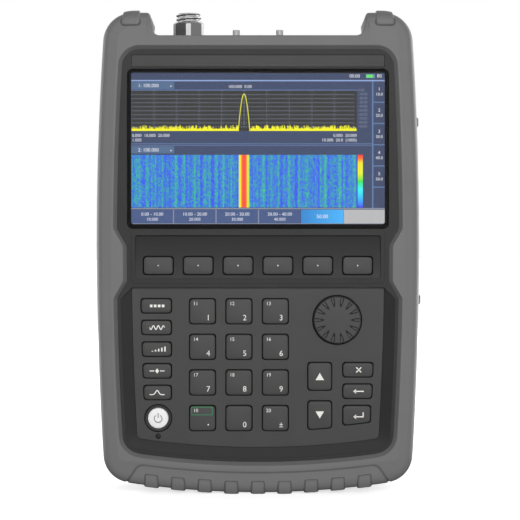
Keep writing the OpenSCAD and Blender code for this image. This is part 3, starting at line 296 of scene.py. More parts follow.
# A darker copy of the knob's rubber: painted shade on the flutes' sides
flute_painted_shade = moulded("flute_painted_shade", 54, 0.5, grain_mm=0.4)
button_white = moulded("button_white", 250, 0.35, shine=0.4, spread=3, relief=0.04)
button_print = moulded("button_print", 66, 0.5, spread=8)
legend_ink = moulded("legend_ink", (248, 244, 239), 0.5, relief=0.02)
green_ink = moulded("green_ink", (62, 138, 96), 0.5, spread=6, relief=0.02)
black_print = moulded("border_print", 23, 0.5, shine=0.05, spread=4)
light_pipe = moulded("light_pipe", 40, 0.25, shine=0.5)
chrome = moulded("connector_chrome", 235, 0.16, shine=0.5, spread=8, metal=1.0, relief=0.04)
bright_metal = moulded("bright_metal", 240, 0.2, shine=0.5, spread=6, metal=0.5, relief=0.04)
satin_metal = moulded("satin_metal", 216, 0.3, shine=0.5, spread=6, metal=0.35, relief=0.04)
# A darker copy of the thread metal: painted shade on the barrels
painted_shade_metal = moulded("painted_shade_metal", 86, 0.4, spread=8, metal=0.5, relief=0.04)
nickel = moulded("nickel", 176, 0.26, shine=0.5, spread=10, metal=1.0, relief=0.08)
gold = moulded("contact_gold", (212, 175, 95), 0.25, spread=8, metal=1.0, relief=0.05)
insulator = moulded("white_insulator", 225, 0.5)
steel = moulded("sheet_steel", 160, 0.35, spread=10, metal=1.0)
painted_steel = moulded("painted_steel", 58, 0.5, shine=0.4)
shield = moulded("shield_metal", 185, 0.3, spread=10, metal=1.0)
component = moulded("component_plastic", 34, 0.45)
laminate = moulded("board_laminate", (28, 92, 52), 0.4, spread=8)
panel_black = moulded("display_panel", 30, 0.4)
clear_lens = glass("lens_glass")


# Mesh building: points are (x, depth behind the front face, z) in millimetres, a shape is (points, faces)

def placed(point):
    """A point in metres in the CAD frame."""
    x, depth, z = point
    return (x * MM, (front_y + depth) * MM, z * MM)


def put(name, data):
    """A new object in the scene."""
    thing = bpy.data.objects.new(name, data)
    bpy.context.scene.collection.objects.link(thing)
    return thing


def bare_object(name, shape):
    """An object whose faces look outwards."""
    points, faces = shape
    mesh = bpy.data.meshes.new(name)
    mesh.from_pydata([placed(p) for p in points], [], faces)
    edited = bmesh.new()
    edited.from_mesh(mesh)
    bmesh.ops.recalc_face_normals(edited, faces=edited.faces)
    edited.to_mesh(mesh)
    edited.free()
    return put(name, mesh)


def paint(mesh, material):
    """Gives a mesh one finish and smooth faces."""
    mesh.materials.clear()
    mesh.materials.append(material)
    mesh.shade_smooth()


def settle(thing, material, body="instrument", stands_for=(), sharp=32.0):
    """Gives a piece its finish and the body it moves with."""
    paint(thing.data, material)
    thing.data.set_sharp_from_angle(angle=math.radians(sharp))
    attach(thing, body)
    if stands_for:
        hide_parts(*stands_for)
    return thing


def piece(name, shape, material, body="instrument", stands_for=(), sharp=32.0):
    """A new piece from a shape."""
    return settle(bare_object(name, shape), material, body, stands_for, sharp)


def second_finish(thing, material, chosen):
    """Another finish on the faces that are chosen."""
    thing.data.materials.append(material)
    for face in thing.data.polygons:
        if chosen(face):
            face.material_index = 1


def joined(*shapes):
    """Several shapes as one."""
    points, faces = [], []
    for more_points, more_faces in shapes:
        offset = len(points)
        points.extend(more_points)
        faces.extend([[i + offset for i in face] for face in more_faces])
    return points, faces


def loft(rings, close_ring=False):
    """Faces between rings of equal length; close_ring joins the last ring to the first, or both get caps."""
    count = len(rings[0])
    points = [p for ring in rings for p in ring]
    faces = []
    for r in range(len(rings) if close_ring else len(rings) - 1):
        low, high = r * count, (r + 1) % len(rings) * count
        for i in range(count):
            j = (i + 1) % count
            faces.append([low + i, low + j, high + j, high + i])
    if not close_ring:
        faces.append(list(range(count - 1, -1, -1)))
        faces.append([(len(rings) - 1) * count + i for i in range(count)])
    return points, faces


def lifted(outline, depth):
    """An outline in X and Z at a depth."""
    return [(p[0], depth, p[1]) for p in outline]


def prism(outline, front, back):
    """An outline drawn out from one depth to another."""
    return loft([lifted(outline, front), lifted(outline, back)])


def inset(outline, distance):
    """A closed counterclockwise outline moved inwards."""
    count = len(outline)
    moved = []
    for i in range(count):
        here = Vector(outline[i][:2])
        before = (here - Vector(outline[i - 1][:2])).normalized()
        after = (Vector(outline[(i + 1) % count][:2]) - here).normalized()
        normal = Vector((-before.y - after.y, before.x + after.x)).normalized()
        stretch = max(0.5, normal.dot(Vector((-before.y, before.x))))
        moved.append(here + normal * distance / stretch)
    return moved


def soft_plate(outline, front, back, r, rise=0.0):
    """A plate with a rounded front edge and a slightly raised middle."""
    steps, rise_in = 4, 1.0
    rings = [lifted(outline, back)]
    for k in range(steps + 1):
        a = math.pi / 2 * k / steps
        rings.append(lifted(inset(outline, r * (1 - math.cos(a))), front + r * (1 - math.sin(a))))
    if rise:
        rings.append(lifted(inset(outline, r + rise_in), front - rise))
    return loft(rings)


def soft_rect(x, z, w, h, r):
    """A counterclockwise rectangle with round corners about (x, z)."""
    steps = 5
    points = []
    for corner in range(4):
        mid_x = x + (w / 2 - r) * (1 if corner in (0, 3) else -1)
        mid_z = z + (h / 2 - r) * (1 if corner in (0, 1) else -1)
        for k in range(steps + 1):
            a = math.pi / 2 * (corner + k / steps)
            points.append((mid_x + r * math.cos(a), mid_z + r * math.sin(a)))
    return points


def flat(outline, depth):
    """A flat shape that faces the front."""
    return lifted(outline, depth), [list(range(len(outline)))]


def rectangle(x1, z1, x2, z2, depth):
    """A flat rectangle that faces the front."""
    return flat([(x1, z1), (x2, z1), (x2, z2), (x1, z2)], depth)


def band(outer, inner, depth):
    """A flat frame between two outlines of equal length."""
    count = len(outer)
    faces = [[i, (i + 1) % count, count + (i + 1) % count, count + i] for i in range(count)]
    return lifted(outer, depth) + lifted(inner, depth), faces


def stroke(path, width, depth):
    """A flat line of even width along (x, z) points."""
    count = len(path)
    left, right = [], []
    for i in range(count):
        here = Vector(path[i])
        along = (Vector(path[min(count - 1, i + 1)]) - Vector(path[max(0, i - 1)])).normalized()
        across = Vector((-along.y, along.x)) * width / 2
        left.append(here + across)
        right.append(here - across)
    faces = [[i, i + 1, count + i + 1, count + i] for i in range(count - 1)]
    return lifted(left + right, depth), faces


def circle(r, count):
    """Points of a circle about the origin; a radius of 0 gives a tiny one, which closes an end."""
    turns = [2 * math.pi * i / count for i in range(count)]
    return [(max(r, 0.001) * math.cos(a), max(r, 0.001) * math.sin(a)) for a in turns]


def turned_front(x, z, profile, count=64):
    """A turned shape that faces the front, from (radius, depth) pairs."""
    return loft([[(x + u, depth, z + v) for u, v in circle(r, count)] for r, depth in profile])


def upright_rings(x, profile, count=64):
    """Rings about an upright axis in the middle of the depth, from (radius, height) pairs."""
    return [[(x + u, middle_d + v, z) for u, v in circle(r, count)] for r, z in profile]


def made_mesh(thing):
    """An object's mesh as its settings and modifiers make it."""
    bpy.context.view_layer.update()
    graph = bpy.context.evaluated_depsgraph_get()
    return bpy.data.meshes.new_from_object(thing.evaluated_get(graph))


def modify(thing, name, kind, **settings):
    """Adds a modifier."""
    set_all(thing.modifiers.new(name, kind), **settings)


def combine(first, operation, second):
    """The first object after a solid operation with the second, which is removed."""
    modify(first, "cut", "BOOLEAN", operation=operation, solver="EXACT", object=second)
    made = made_mesh(first)
    first.modifiers.clear()
    first.data = made
    bpy.data.objects.remove(second)
    return first


def dress(node, material, ease):
    """Gives a CAD node its finish and softens its hard edges without changing its own mesh."""
    thing = nodes[node]
    if "custom_normal" in thing.data.attributes:
        thing.data.attributes.remove(thing.data.attributes["custom_normal"])
    paint(thing.data, material)
    if not ease:
        thing.data.set_sharp_from_angle(angle=math.radians(35))
        return
    modify(thing, "weld", "WELD", merge_threshold=0.002 * MM)
    modify(thing, "plain", "DECIMATE", decimate_type="DISSOLVE", angle_limit=math.radians(0.2))
    modify(thing, "ease", "BEVEL", width=ease * MM, segments=2, limit_method="ANGLE",
           angle_limit=math.radians(14), use_clamp_overlap=False)
    modify(thing, "even", "WEIGHTED_NORMAL", weight=90)


# Outlines of the boot, in X and Z, as right halves from the middle of the base to the middle of the top

def fillet(a, b, c, r, steps):
    """Points on the rounded corner at b between the lines to a and c."""
    a, b, c = Vector(a), Vector(b), Vector(c)
    u = (a - b).normalized()
    v = (c - b).normalized()
    half = math.acos(u.dot(v)) / 2
    middle = b + (u + v).normalized() * r / math.sin(half)
    p = b + u * r / math.tan(half) - middle
    q = b + v * r / math.tan(half) - middle
    start = math.atan2(p.y, p.x)
    sweep = (math.atan2(q.y, q.x) - start + 3 * math.pi) % (2 * math.pi) - math.pi
    turns = [start + sweep * i / steps for i in range(steps + 1)]
    return [middle + r * Vector((math.cos(turn), math.sin(turn))) for turn in turns]


def rounded(corners, r):
    """A closed outline with every corner rounded."""
    steps = 5
    ends = [corners[-1], *corners, corners[0]]
    return [p for i in range(len(corners)) for p in fillet(*ends[i:i + 3], r, steps)]


def mirrored(half):
    """A whole outline from its right half."""
    return list(half) + [Vector((-p[0], p[1])) for p in reversed(half[1:-1])]


def side_x(z, side_in):
    """The right side, bowed, moved inwards."""
    return body_w / 2 - side_bow_r + math.sqrt((side_bow_r - side_in) ** 2 - (z - widest_z) ** 2)


def base_z(x, base_in):
    """The base, bowed, moved inwards."""
    return rib_h + base_bow_r - math.sqrt((base_bow_r - base_in) ** 2 - x * x)


def base_half(side_in, base_in, r):
    """The base and its corner."""
    z = base_z(body_w / 2 - side_in, base_in)
    corner = (side_x(z, side_in), z)
    along_base = (corner[0] - r, base_z(corner[0] - r, base_in))
    along_side = (side_x(z + r, side_in), z + r)
    bend = fillet(along_base, corner, along_side, r, corner_steps)
    spread = [bend[0].x * i / base_steps for i in range(base_steps)]
    return [Vector((x, base_z(x, base_in))) for x in spread] + bend


def side_between(z1, z2, side_in):
    """Points strictly between two heights on the bowed side."""
    heights = [z1 + (z2 - z1) * i / (side_steps + 1) for i in range(1, side_steps + 1)]
    return [Vector((side_x(z, side_in), z)) for z in heights]


def waist_half(side_in):
    """The thumb bulge at the waist of the lip."""
    bend_r, lead = 4, 8
    high = waist_h / 2
    foot = high + waist_ramp
    stations = ((-foot - lead, 0), (-foot, 0), (-high, waist_depth), (high, waist_depth), (foot, 0),
                (foot + lead, 0))
    path = [(side_x(waist_z + rise, side_in) - into, waist_z + rise) for rise, into in stations]
    return [p for i in range(4) for p in fillet(*path[i:i + 3], bend_r, waist_steps)]


def plain_waist(side_in):
    """The heights of the bulge's points on a side that has none."""
    return [Vector((side_x(p.y, side_in), p.y)) for p in waist_half(lip_in)]


def horn_half():
    """The inner side of a horn and the bend at its foot."""
    tip_r, foot_r = 2, 4.5
    along_top = (horn_tip_x + 9, horn_top)
    tip = (horn_tip_x, horn_top)
    foot = (horn_foot_x, top_z)
    return fillet(along_top, tip, foot, tip_r, tip_steps) + fillet(tip, foot, (0, top_z), foot_r, foot_steps)


def top_corner(side_in, z, r):
    """A top corner that ends on a level top edge."""
    x = side_x(z, side_in)
    return fillet((side_x(z - r, side_in), z - r), (x, z), (x - r, z), r, corner_steps)


def whole_half(low, waist, high, side_in, top):
    """A right half from its base, waist, corner and top."""
    return (low + side_between(low[-1].y, waist[0].y, side_in) + waist
            + side_between(waist[-1].y, high[0].y, side_in) + high + top)


def frame_half(side_in, base_in, top_in, base_r, top_r, waist):
    """An outline that follows the body, with one point for each point of the boot's outline."""
    z = top_z - top_in
    top = [Vector((p.x, z)) for p in horn_half()] + [Vector((0, z))]
    return whole_half(base_half(side_in, base_in, base_r), waist, top_corner(side_in, z, top_r), side_in, top)


def boot_half():
    """The outside of the boot with its horn."""
    top = horn_half() + [Vector((0, top_z))]
    return whole_half(base_half(-boot_grow, -boot_grow, base_corner_r), plain_waist(-boot_grow),
                      top_corner(-boot_grow, horn_top, top_corner_r), -boot_grow, top)


def front_half(side_in):
    """The front opening, moved inwards."""
    return frame_half(side_in, side_in + base_lip_extra, side_in - top_lip_less,
                      front_corner - side_in, front_corner - 1 - side_in, waist_half(side_in))


def case_half():
    """The pocket for the case."""
    return frame_half(boot_wall, base_wall, boot_wall, base_corner_r - boot_wall,
                      top_corner_r - boot_wall, plain_waist(boot_wall))


def rear_window_half():
    """The opening in the back of the boot."""
    side_lip, base_lip, top_lip, r = 11, 13, 9, 10
    side_in = boot_wall + side_lip
    return frame_half(side_in, base_wall + base_lip, boot_wall + top_lip, r, r, plain_waist(side_in))


def seam_half(grow):
    """The seam of the bumper, open downwards."""
    flank_w, flank_h, bend_r, bend_steps = 16, 24, 5.5, 8
    x = seam_half_w + grow
    shoulder = Vector((x, base_z(x, seam_h + grow)))
    low = Vector((x + flank_w, shoulder.y - flank_h))
    inner = Vector((x - 10, base_z(x - 10, seam_h + grow)))
    bend = fillet(low, shoulder, inner, bend_r, bend_steps)
    along = [bend[-1].x * i / base_steps for i in range(base_steps - 1, -1, -1)]
    return [Vector((0, low.y)), low] + bend + [Vector((s, base_z(s, seam_h + grow))) for s in along]


# Boot: one skin that runs from the front lip over the outside and the back lip into the pocket for the case

boot_outline = mirrored(boot_half())
ring_count = len(boot_outline)
half_count = len(boot_half())
soft_start = half_count - 1 - len(horn_half()) - corner_steps - 1
tip_end = soft_start + corner_steps + tip_steps + 1
tip_softness, valley_softness = 0.22, 0.14
horn_draft, foot_draft = 0.4, 3.0
crease_in, crease_w = lip_in - 0.5, 0.3


def base_share(i):
    """How much further in the rounding reaches along the base than at the sides."""
    if i <= base_steps:
        return base_reach
    return max(1.0, base_reach - (base_reach - 1) * (i - base_steps) / corner_steps)


def tip_drop(ring_in):
    """How far the top of a horn moves down for an inset."""
    if ring_in <= edge_r:
        return ring_in * horn_round / edge_r
    return horn_round + (ring_in - edge_r) / 3


def soft_ring(ring_in, depth, from_back=False):
    """The boot's outline moved in by the rounding's share of an inset; at the back the horns are slimmer."""
    ring = []
    for i in range(ring_count):
        half_i = i if i < half_count else ring_count - i
        along = (boot_outline[(i + 1) % ring_count] - boot_outline[i - 1]).normalized()
        outward = Vector((along.y, -along.x))
        on_horn = soft_start + corner_steps < half_i < half_count - 1
        soft, draft = 1.0, horn_draft
        if half_i > tip_end:
            soft, draft = valley_softness, foot_draft
            move = outward * ring_in * soft
        elif on_horn:
            move = Vector((outward.x * ring_in * tip_softness, tip_drop(ring_in)))
        else:
            move = outward * ring_in * base_share(half_i)
        p = boot_outline[i] - move
        x = p.x + math.copysign(draft, p.x) if from_back and on_horn else p.x
        ring.append((x, body_d - depth * soft if from_back else depth * soft, p.y))
    return ring


def boot_skin(sink=0.0):
    """The boot's skin, or one that lies sunk under it."""
    lip = ((bezel_in, bezel_d), (lip_in + 0.5, 0.6 + sink), (lip_in + 0.15, 0.15 + sink),
           (lip_in - 0.2, sink))
    rings = [lifted(mirrored(front_half(lip_ring)), depth) for lip_ring, depth in lip]
    rings.append(soft_ring(crease_in, sink))
    rings.append(soft_ring(crease_in - crease_w, sink + crown * crease_w / (crease_in - edge_r)))
    turns = [math.pi / 2 * k / edge_steps for k in range(edge_steps + 1)]
    edge = [(edge_r * (1 - math.sin(a)) + sink, sink + edge_r * (1 - math.cos(a))) for a in turns]
    rings += [soft_ring(ring_in, crown + depth) for ring_in, depth in edge]
    rings += [soft_ring(ring_in, depth, True) for ring_in, depth in reversed(edge)]
    inside = ((rear_window_half(), body_d - sink), (rear_window_half(), back_d), (case_half(), back_d),
              (case_half(), bezel_d))
    rings += [lifted(mirrored(half), depth) for half, depth in inside]
    return loft(rings, close_ring=True)


def bumper_zone(name, grow, core_grow):
    """The room taken by the bumper: sole and flanges inside the seam."""
    past = 6
    zone = bare_object(name, prism(mirrored(seam_half(grow)), -past, body_d + past))
    reach = body_w / 2
    spread = [reach * i / base_steps for i in range(-base_steps, base_steps + 1)]
    core = [Vector((x, base_z(x, sole_t - core_grow))) for x in spread]
    core += [Vector((reach, widest_z)), Vector((-reach, widest_z))]
    core_shape = prism(core, flange_t - core_grow, body_d - flange_t + core_grow)
    return combine(zone, "DIFFERENCE", bare_object(name + "_core", core_shape))


def door_pocket(name, z):
    """The cut for a port door and its hinge in the right side of the boot."""
    door_d, front_gap, past = middle_d + 1, 0.4, 2
    tilt = math.asin((z - widest_z) / side_bow_r)
    across = Vector((math.cos(tilt), math.sin(tilt)))
    along = Vector((-math.sin(tilt), math.cos(tilt)))
    middle = Vector((side_x(z, 0), z))
    deep, half_h = -boot_wall - past, door_h / 2 + door_gap
    corners = [middle + across * u + along * v
               for u, v in ((deep, -half_h), (past, -half_h), (past, half_h), (deep, half_h))]
    front, back = door_d - door_w / 2 - front_gap, door_d + door_w / 2 + hinge_room
    return bare_object(name, prism(corners, front, back))


def pad_station(s):
    """Place and outward direction, in depth and height, along a pad's way up the front and over the top."""
    start_d = 0.5
    bend_z = horn_top - horn_round
    turn = (s - (bend_z - pad_low)) / horn_round
    if turn <= 0:
        return start_d, pad_low + s, -1.0, 0.0
    if turn <= math.pi / 2:
        up, along = math.sin(turn), math.cos(turn)
        return start_d + horn_round * (1 - along), bend_z + horn_round * up, -along, up
    return start_d + horn_round * (1 + turn - math.pi / 2), horn_top, 0.0, 1.0


def corner_drop(x):
    """How far the top edge of a horn has come down at its outer corner."""
    past = max(0.0, x - (side_x(horn_top, -boot_grow) - top_corner_r))
    return top_corner_r - math.sqrt(top_corner_r ** 2 - past ** 2)


def horn_pad(name, side, from_back):
    """A raised pad that wraps over the corner of a horn, and a darker plate under it that shows round it as
    painted shade.
    """
    pad_rows, corner_share = 24, 0.7
    rim = [(0.0, 0.1), (0.1, 0.55), (0.35, 0.86), (0.9, 1.0)]
    section = [(0.0, -3.6)] + rim + [(2.4, 1.0), (4.2, 1.0)]
    inner = [1.8 + (pad_reach - 2.7) * k / pad_rows for k in range(pad_rows + 1)]
    stations = rim + [(s, 1.0) for s in inner] + [(pad_reach - s, lift) for s, lift in reversed(rim)]
    rings = []
    for s, lift in stations:
        depth, z, out_d, out_z = pad_station(s)
        lack = max(0.0, pad_corner_r - s)
        narrow = pad_corner_r - math.sqrt(pad_corner_r ** 2 - lack ** 2)
        x1 = pad_x + narrow
        x2 = pad_x + pad_w - narrow - pad_lean * (z - pad_low) / (horn_top - pad_low)
        spots = [(x1 + dx, share) for dx, share in section]
        spots += [(x2 - dx, share) for dx, share in reversed(section)]
        ring = []
        for x, share in spots:
            height = pad_t * share * (lift if share > 0 else 1.0)
            d = depth + out_d * height
            top = z + out_z * (height - corner_share * corner_drop(x))
            ring.append((side * x, body_d - d if from_back else d, top))
        rings.append(ring)
    piece(name, loft(rings), rubber)
    # A slightly bigger dark plate under the pad: painted shade round its edge
    grow, proud, deep = 0.55, 0.05, 2
    low, high = pad_low - grow, horn_top - 3.5
    shade_plate = soft_rect(side * (pad_x + pad_w / 2), (low + high) / 2, pad_w + 2 * grow, high - low,
                     pad_corner_r + grow)
    front, back = (body_d + proud, body_d - deep) if from_back else (-proud, deep)
    piece(name + "_shade_line", prism(shade_plate, front, back), shade_line_rubber)


boot = bare_object("boot", boot_skin())
boot = combine(boot, "DIFFERENCE", bumper_zone("boot_seam_cut", seam_gap, 0.0))
bay_half, bay_low, bay_high, bay_d = horn_foot_x - 7, top_z - 2 * boot_wall, top_z + boot_wall, 14
bay = [(-bay_half, bay_low), (bay_half, bay_low), (bay_half, bay_high), (-bay_half, bay_high)]
boot = combine(boot, "DIFFERENCE", bare_object("bay_cut", prism(bay, bay_d, body_d - bay_d)))
for word in door_z:
    boot = combine(boot, "DIFFERENCE", door_pocket(word + "_pocket_cut", door_z[word]))
settle(boot, rubber, stands_for=["rubber_boot"])


def shaded_lip(face):
    """Whether a face of the boot is on the lip round the front case or on the inner side of a horn; these
    faces get painted shade.
    """
    at = face.center
    to_middle = Vector((0, body_h / 2)) * MM - Vector((at.x, at.z))
    inward = to_middle.dot(Vector((face.normal.x, face.normal.z))) > 0
    in_lip = front_y + 0.2 < at.y / MM < front_y + bezel_d - 0.05 and at.z < (top_z - 5) * MM
    in_bay = abs(face.normal.x) > 0.6 and at.z > (top_z - 1) * MM
    return inward and (in_lip or in_bay)


# Painted shade on the lip and the horns' inner sides
second_finish(boot, lip_painted_shade, shaded_lip)
modify(boot, "even", "WEIGHTED_NORMAL", keep_sharp=True)
for side, word in ((-1, "left"), (1, "right")):
    horn_pad("horn_pad_" + word + "_front", side, False)
    horn_pad("horn_pad_" + word + "_back", side, True)

# A sunk strip that fills the seam, darker than the boot: painted shade of the seam
seam_strip = bare_object("seam_shade_strip", boot_skin(0.3))
seam_strip = combine(seam_strip, "INTERSECT", bumper_zone("seam_shade_cut", seam_gap + 0.1, 0.05))
settle(seam_strip, seam_shade_rubber)
bumper = bare_object("bumper", boot_skin())
bumper = combine(bumper, "INTERSECT", bumper_zone("bumper_cut", 0.0, 0.1))
settle(bumper, bumper_rubber, stands_for=["bottom_bumper"])
modify(bumper, "even", "WEIGHTED_NORMAL", keep_sharp=True)


def rib(name, index, grow, sink, edge, material):
    """A grip rib that wraps under the base, wider towards its sole."""
    foot_extra, taper, toe_h, toe_cut, flat_share = 0.25, 0.085, 0.9, 0.7, 0.84
    x = index * rib_pitch
    sole = 0.0 if abs(index) <= 1 else base_z(x, 0) - rib_h
    front = sink - rib_proud
    face_h = rib_face_h + grow
    lean = (base_z(x + 1, 0) - base_z(x - 1, 0)) / 2
    face_r = face_h / math.sin(rib_turn)
    turns = [rib_turn * share for share in (0, 0.2, 0.4, 0.6, 0.8, 0.92, 1)]
    profile = [(front + edge, sole + face_h + rib_edge)]
    profile += [(front + face_r * (1 - math.cos(a)), sole + face_h - face_r * math.sin(a)) for a in turns]
    profile += [(body_d - depth, z) for depth, z in reversed(profile)]
    rings = []
    for share, shrink in ((-1.0, edge), (-flat_share, 0.0), (flat_share, 0.0), (1.0, edge)):
        ring = []
        for depth, z in profile:
            rise = z - sole
            half = rib_w / 2 + foot_extra - taper * rise - toe_cut * max(0.0, toe_h - rise) + grow
            in_depth = shrink if depth < middle_d else -shrink
            in_z = shrink * (1 if z < sole + face_h / 2 else -0.3)
            ring.append((x + share * half, depth + in_depth, z + in_z + lean * share * half))
        rings.append(ring)
    piece(name, loft(rings), material)


for rib_index in range(-(rib_count // 2), rib_count // 2 + 1):
    word = "m" if rib_index == 0 else ("r" if rib_index > 0 else "l") + str(abs(rib_index))
    rib("rib_" + word, rib_index, 0.0, 0.0, rib_edge, bumper_rubber)
    # A wider, sunk dark copy of each rib: painted shade round its sides and top
    rib("rib_shade_line_" + word, rib_index, 0.45, 0.75, 0.1, shade_line_rubber)

# Case, plate and other CAD nodes that keep their own form

for node, material, ease in (
        ("front_case", front_plastic, 0.15), ("rear_case", back_plastic, 0.3),
        ("keypad_panel", plate_plastic, 0.12), ("battery_door", back_plastic, 0.4),
        ("kickstand", case_plastic, 0.4), ("port_door_upper", rubber, 0.3), ("port_door_lower", rubber, 0.3),
        ("usb_ports", component, 0.15), ("power_ports", component, 0.15), ("top_panel", painted_steel, 0.2),
        ("case_screws", steel, 0.1), ("case_seal", seal_rubber, 0.0), ("display_gasket", seal_rubber, 0.0),
        ("lcd_module", panel_black, 0.0), ("display_frame", steel, 0.0), ("keypad_mat", seal_rubber, 0.0),
        ("keypad_board", laminate, 0.0), ("main_board", laminate, 0.0), ("rf_module", shield, 0.2),
        ("battery_pack", component, 0.2), ("encoder_body", shield, 0.0), ("encoder_shaft", steel, 0.0)):
    dress(node, material, ease)

# Pull tabs on the free edges of the port doors

tab_h, tab_reach, tab_d1, tab_d2 = 6.0, 3.1, 24.8, 29.0
for word in door_z:
    tab_x = side_x(door_z[word], 0)
    tab_rows = []
    for share, shrink in ((-0.5, 0.8), (-0.42, 0.2), (-0.3, 0.0), (0.3, 0.0), (0.42, 0.2), (0.5, 0.8)):
        reach = tab_x + tab_reach - shrink
        section = ((tab_x - 0.6, tab_d1), (reach - 0.5, tab_d1), (reach, tab_d1 + 0.7),
                   (reach, tab_d2 - 2.0), (tab_x + 0.3, tab_d2), (tab_x - 0.6, tab_d2))
        tab_rows.append([(x, depth, door_z[word] + share * tab_h) for x, depth in section])
    piece("door_tab_" + word, loft(tab_rows), rubber, "port_door_" + word + "_body")

# Nameplate, left bare

nameplate_w, nameplate_h, nameplate_top, nameplate_r = 153.0, 7.2, 265.3, 0.8
nameplate_d, nameplate_back_d, nameplate_edge_r = bezel_d - 0.15, 3.7, 0.25
nameplate = soft_rect(0, nameplate_top - nameplate_h / 2, nameplate_w, nameplate_h, nameplate_r)
piece("bare_nameplate", soft_plate(nameplate, nameplate_d, nameplate_back_d, nameplate_edge_r), film,
      stands_for=["nameplate"])

# Display: lens, border print and a lit panel with a plain measurement screen

lens_w, lens_h, lens_z, lens_r = 158.0, 96.5, 208.55, 3.5
lens_d, lens_t, lens_edge_r = 3.9, 2.0, 0.3
lcd_w, lcd_h, lcd_z, lcd_r = 153.8, 92.0, 209.15, 1.6
lcd_left = -lcd_w / 2
lcd_top = lcd_z + lcd_h / 2
lens_back_d = lens_d + lens_t
print_d = lens_back_d - 0.05
screen_d = lens_back_d + 0.2
figures_d = screen_d - 0.06
layer_t = 0.01
lens = soft_rect(0, lens_z, lens_w, lens_h, lens_r)
window = soft_rect(0, lcd_z, lcd_w, lcd_h, lcd_r)
piece("lens", soft_plate(lens, lens_d, lens_back_d, lens_edge_r), clear_lens,
      stands_for=["display_lens"])
piece("lens_border", band(lens, window, print_d), black_print)


def show(name, boxes, layer, material):
    """Patches of the screen, from millimetres right of and below its upper left corner."""
    shapes = [rectangle(lcd_left + u1, lcd_top - v2, lcd_left + u2, lcd_top - v1, screen_d - layer_t * layer)
              for u1, v1, u2, v2 in boxes]
    piece("screen_" + name, joined(*shapes), material)


def patch(name, tone, layer, *boxes):
    """Lit patches of one colour."""
    show(name, boxes, layer, glowing("glow_" + name, tone))


plot_left, plot_right, plot_top, plot_bottom = 0.3, 136.8, 11.1, 35.6
plot_w, plot_h = plot_right - plot_left, plot_bottom - plot_top
fall_top, fall_bottom = 50.1, 82.0
menu_u, menu_pitch, menu_top = 146.9, 12.85, 5.4
cell_w, cell_top, cell_bottom = 25.75, 83.3, 91.6
menu_lines = [menu_top + menu_pitch * i for i in range(1, 6)]
patch("back", (77, 86, 113), 0, (0, 0, lcd_w, lcd_h))
patch("bright_lines", (150, 174, 220), 2, (0, 4.7, lcd_w, 5.5))
patch("split", (100, 118, 156), 2, (0, 43.0, 146.0, 43.6), (0, 44.05, 146.0, 44.65))
patch("lines", (106, 130, 174), 2, (146.0, 5.5, menu_u, 82.3), (0, 10.6, plot_right, plot_top),
      *[(menu_u, v - 0.35, lcd_w, v + 0.35) for v in menu_lines])
patch("low_lines", (146, 152, 166), 2, (0, 82.3, lcd_w, 83.0), (0, cell_bottom, lcd_w, lcd_h),
      *[(cell_w * i - 0.3, cell_top, cell_w * i + 0.3, cell_bottom) for i in range(1, 4)])
patch("cells", (84, 100, 142), 2,
      *[(cell_w * i + 0.3, cell_top, cell_w * (i + 1) - 0.3, cell_bottom) for i in range(4)])
patch("tabs", (96, 118, 150), 3, (0, 5.9, 26.2, 10.3), (0, 44.9, 26.2, 49.2))
patch("plot", (69, 69, 69), 2, (plot_left, plot_top, plot_right, plot_bottom))
choice_left = lcd_left + 4 * cell_w
choice_glow = graded("glow_choice", "X", choice_left, choice_left + cell_w,
                     [(0.0, (70, 142, 214)), (1.0, (86, 186, 255))])
show("choice", [(4 * cell_w, cell_top, 5 * cell_w, cell_bottom)], 2, choice_glow)
patch("idle", (190, 190, 192), 2, (5 * cell_w + 0.2, cell_top, lcd_w, cell_bottom))
patch("battery_edge", (120, 142, 184), 2, (142.3, 1.2, 147.7, 3.6))
patch("battery", (110, 236, 110), 3, (142.6, 1.5, 146.5, 3.3))

dash, pitch, grid_half = 0.6, 1.54, 0.275
grid_boxes = []
for row in range(1, 10):
    v = plot_top + plot_h * row / 10
    starts = [plot_left + i * pitch for i in range(int(plot_w / pitch))]
    grid_boxes += [(u, v - grid_half, u + dash, v + grid_half) for u in starts]
for column in range(1, 10):
    u = plot_left + plot_w * column / 10
    starts = [plot_top + i * pitch for i in range(int(plot_h / pitch))]
    grid_boxes += [(u - grid_half, v, u + grid_half, v + dash) for v in starts]
patch("grid", (128, 137, 156), 3, *grid_boxes)

# The trace: a noise floor and one peak
chance = random.Random(7)
peak_u, peak_half, peak_top, peak_steps = 68.5, 3.45, 13.2, 24
step_u, line_half = 0.4, 0.125
trace_boxes = []
for i in range(int(plot_w / step_u)):
    u = plot_left + i * step_u
    if abs(u - peak_u) > peak_half:
        noise_top = plot_bottom - 1.2 - 2.4 * chance.random() ** 1.4
        trace_boxes.append((u, noise_top, u + step_u * 1.05, plot_bottom))
peak_points = []
for s in range(-peak_steps, peak_steps + 1):
    height = (plot_bottom - peak_top) * math.cos(math.pi / 2 * abs(s) / peak_steps) ** 0.9
    peak_points.append((peak_u + peak_half * s / peak_steps, plot_bottom - height))
for (u1, v1), (u2, v2) in zip(peak_points, peak_points[1:]):
    trace_boxes.append((u1 - line_half, min(v1, v2) - line_half, u2 + line_half, max(v1, v2) + line_half))
patch("trace", (250, 246, 56), 4, *trace_boxes)

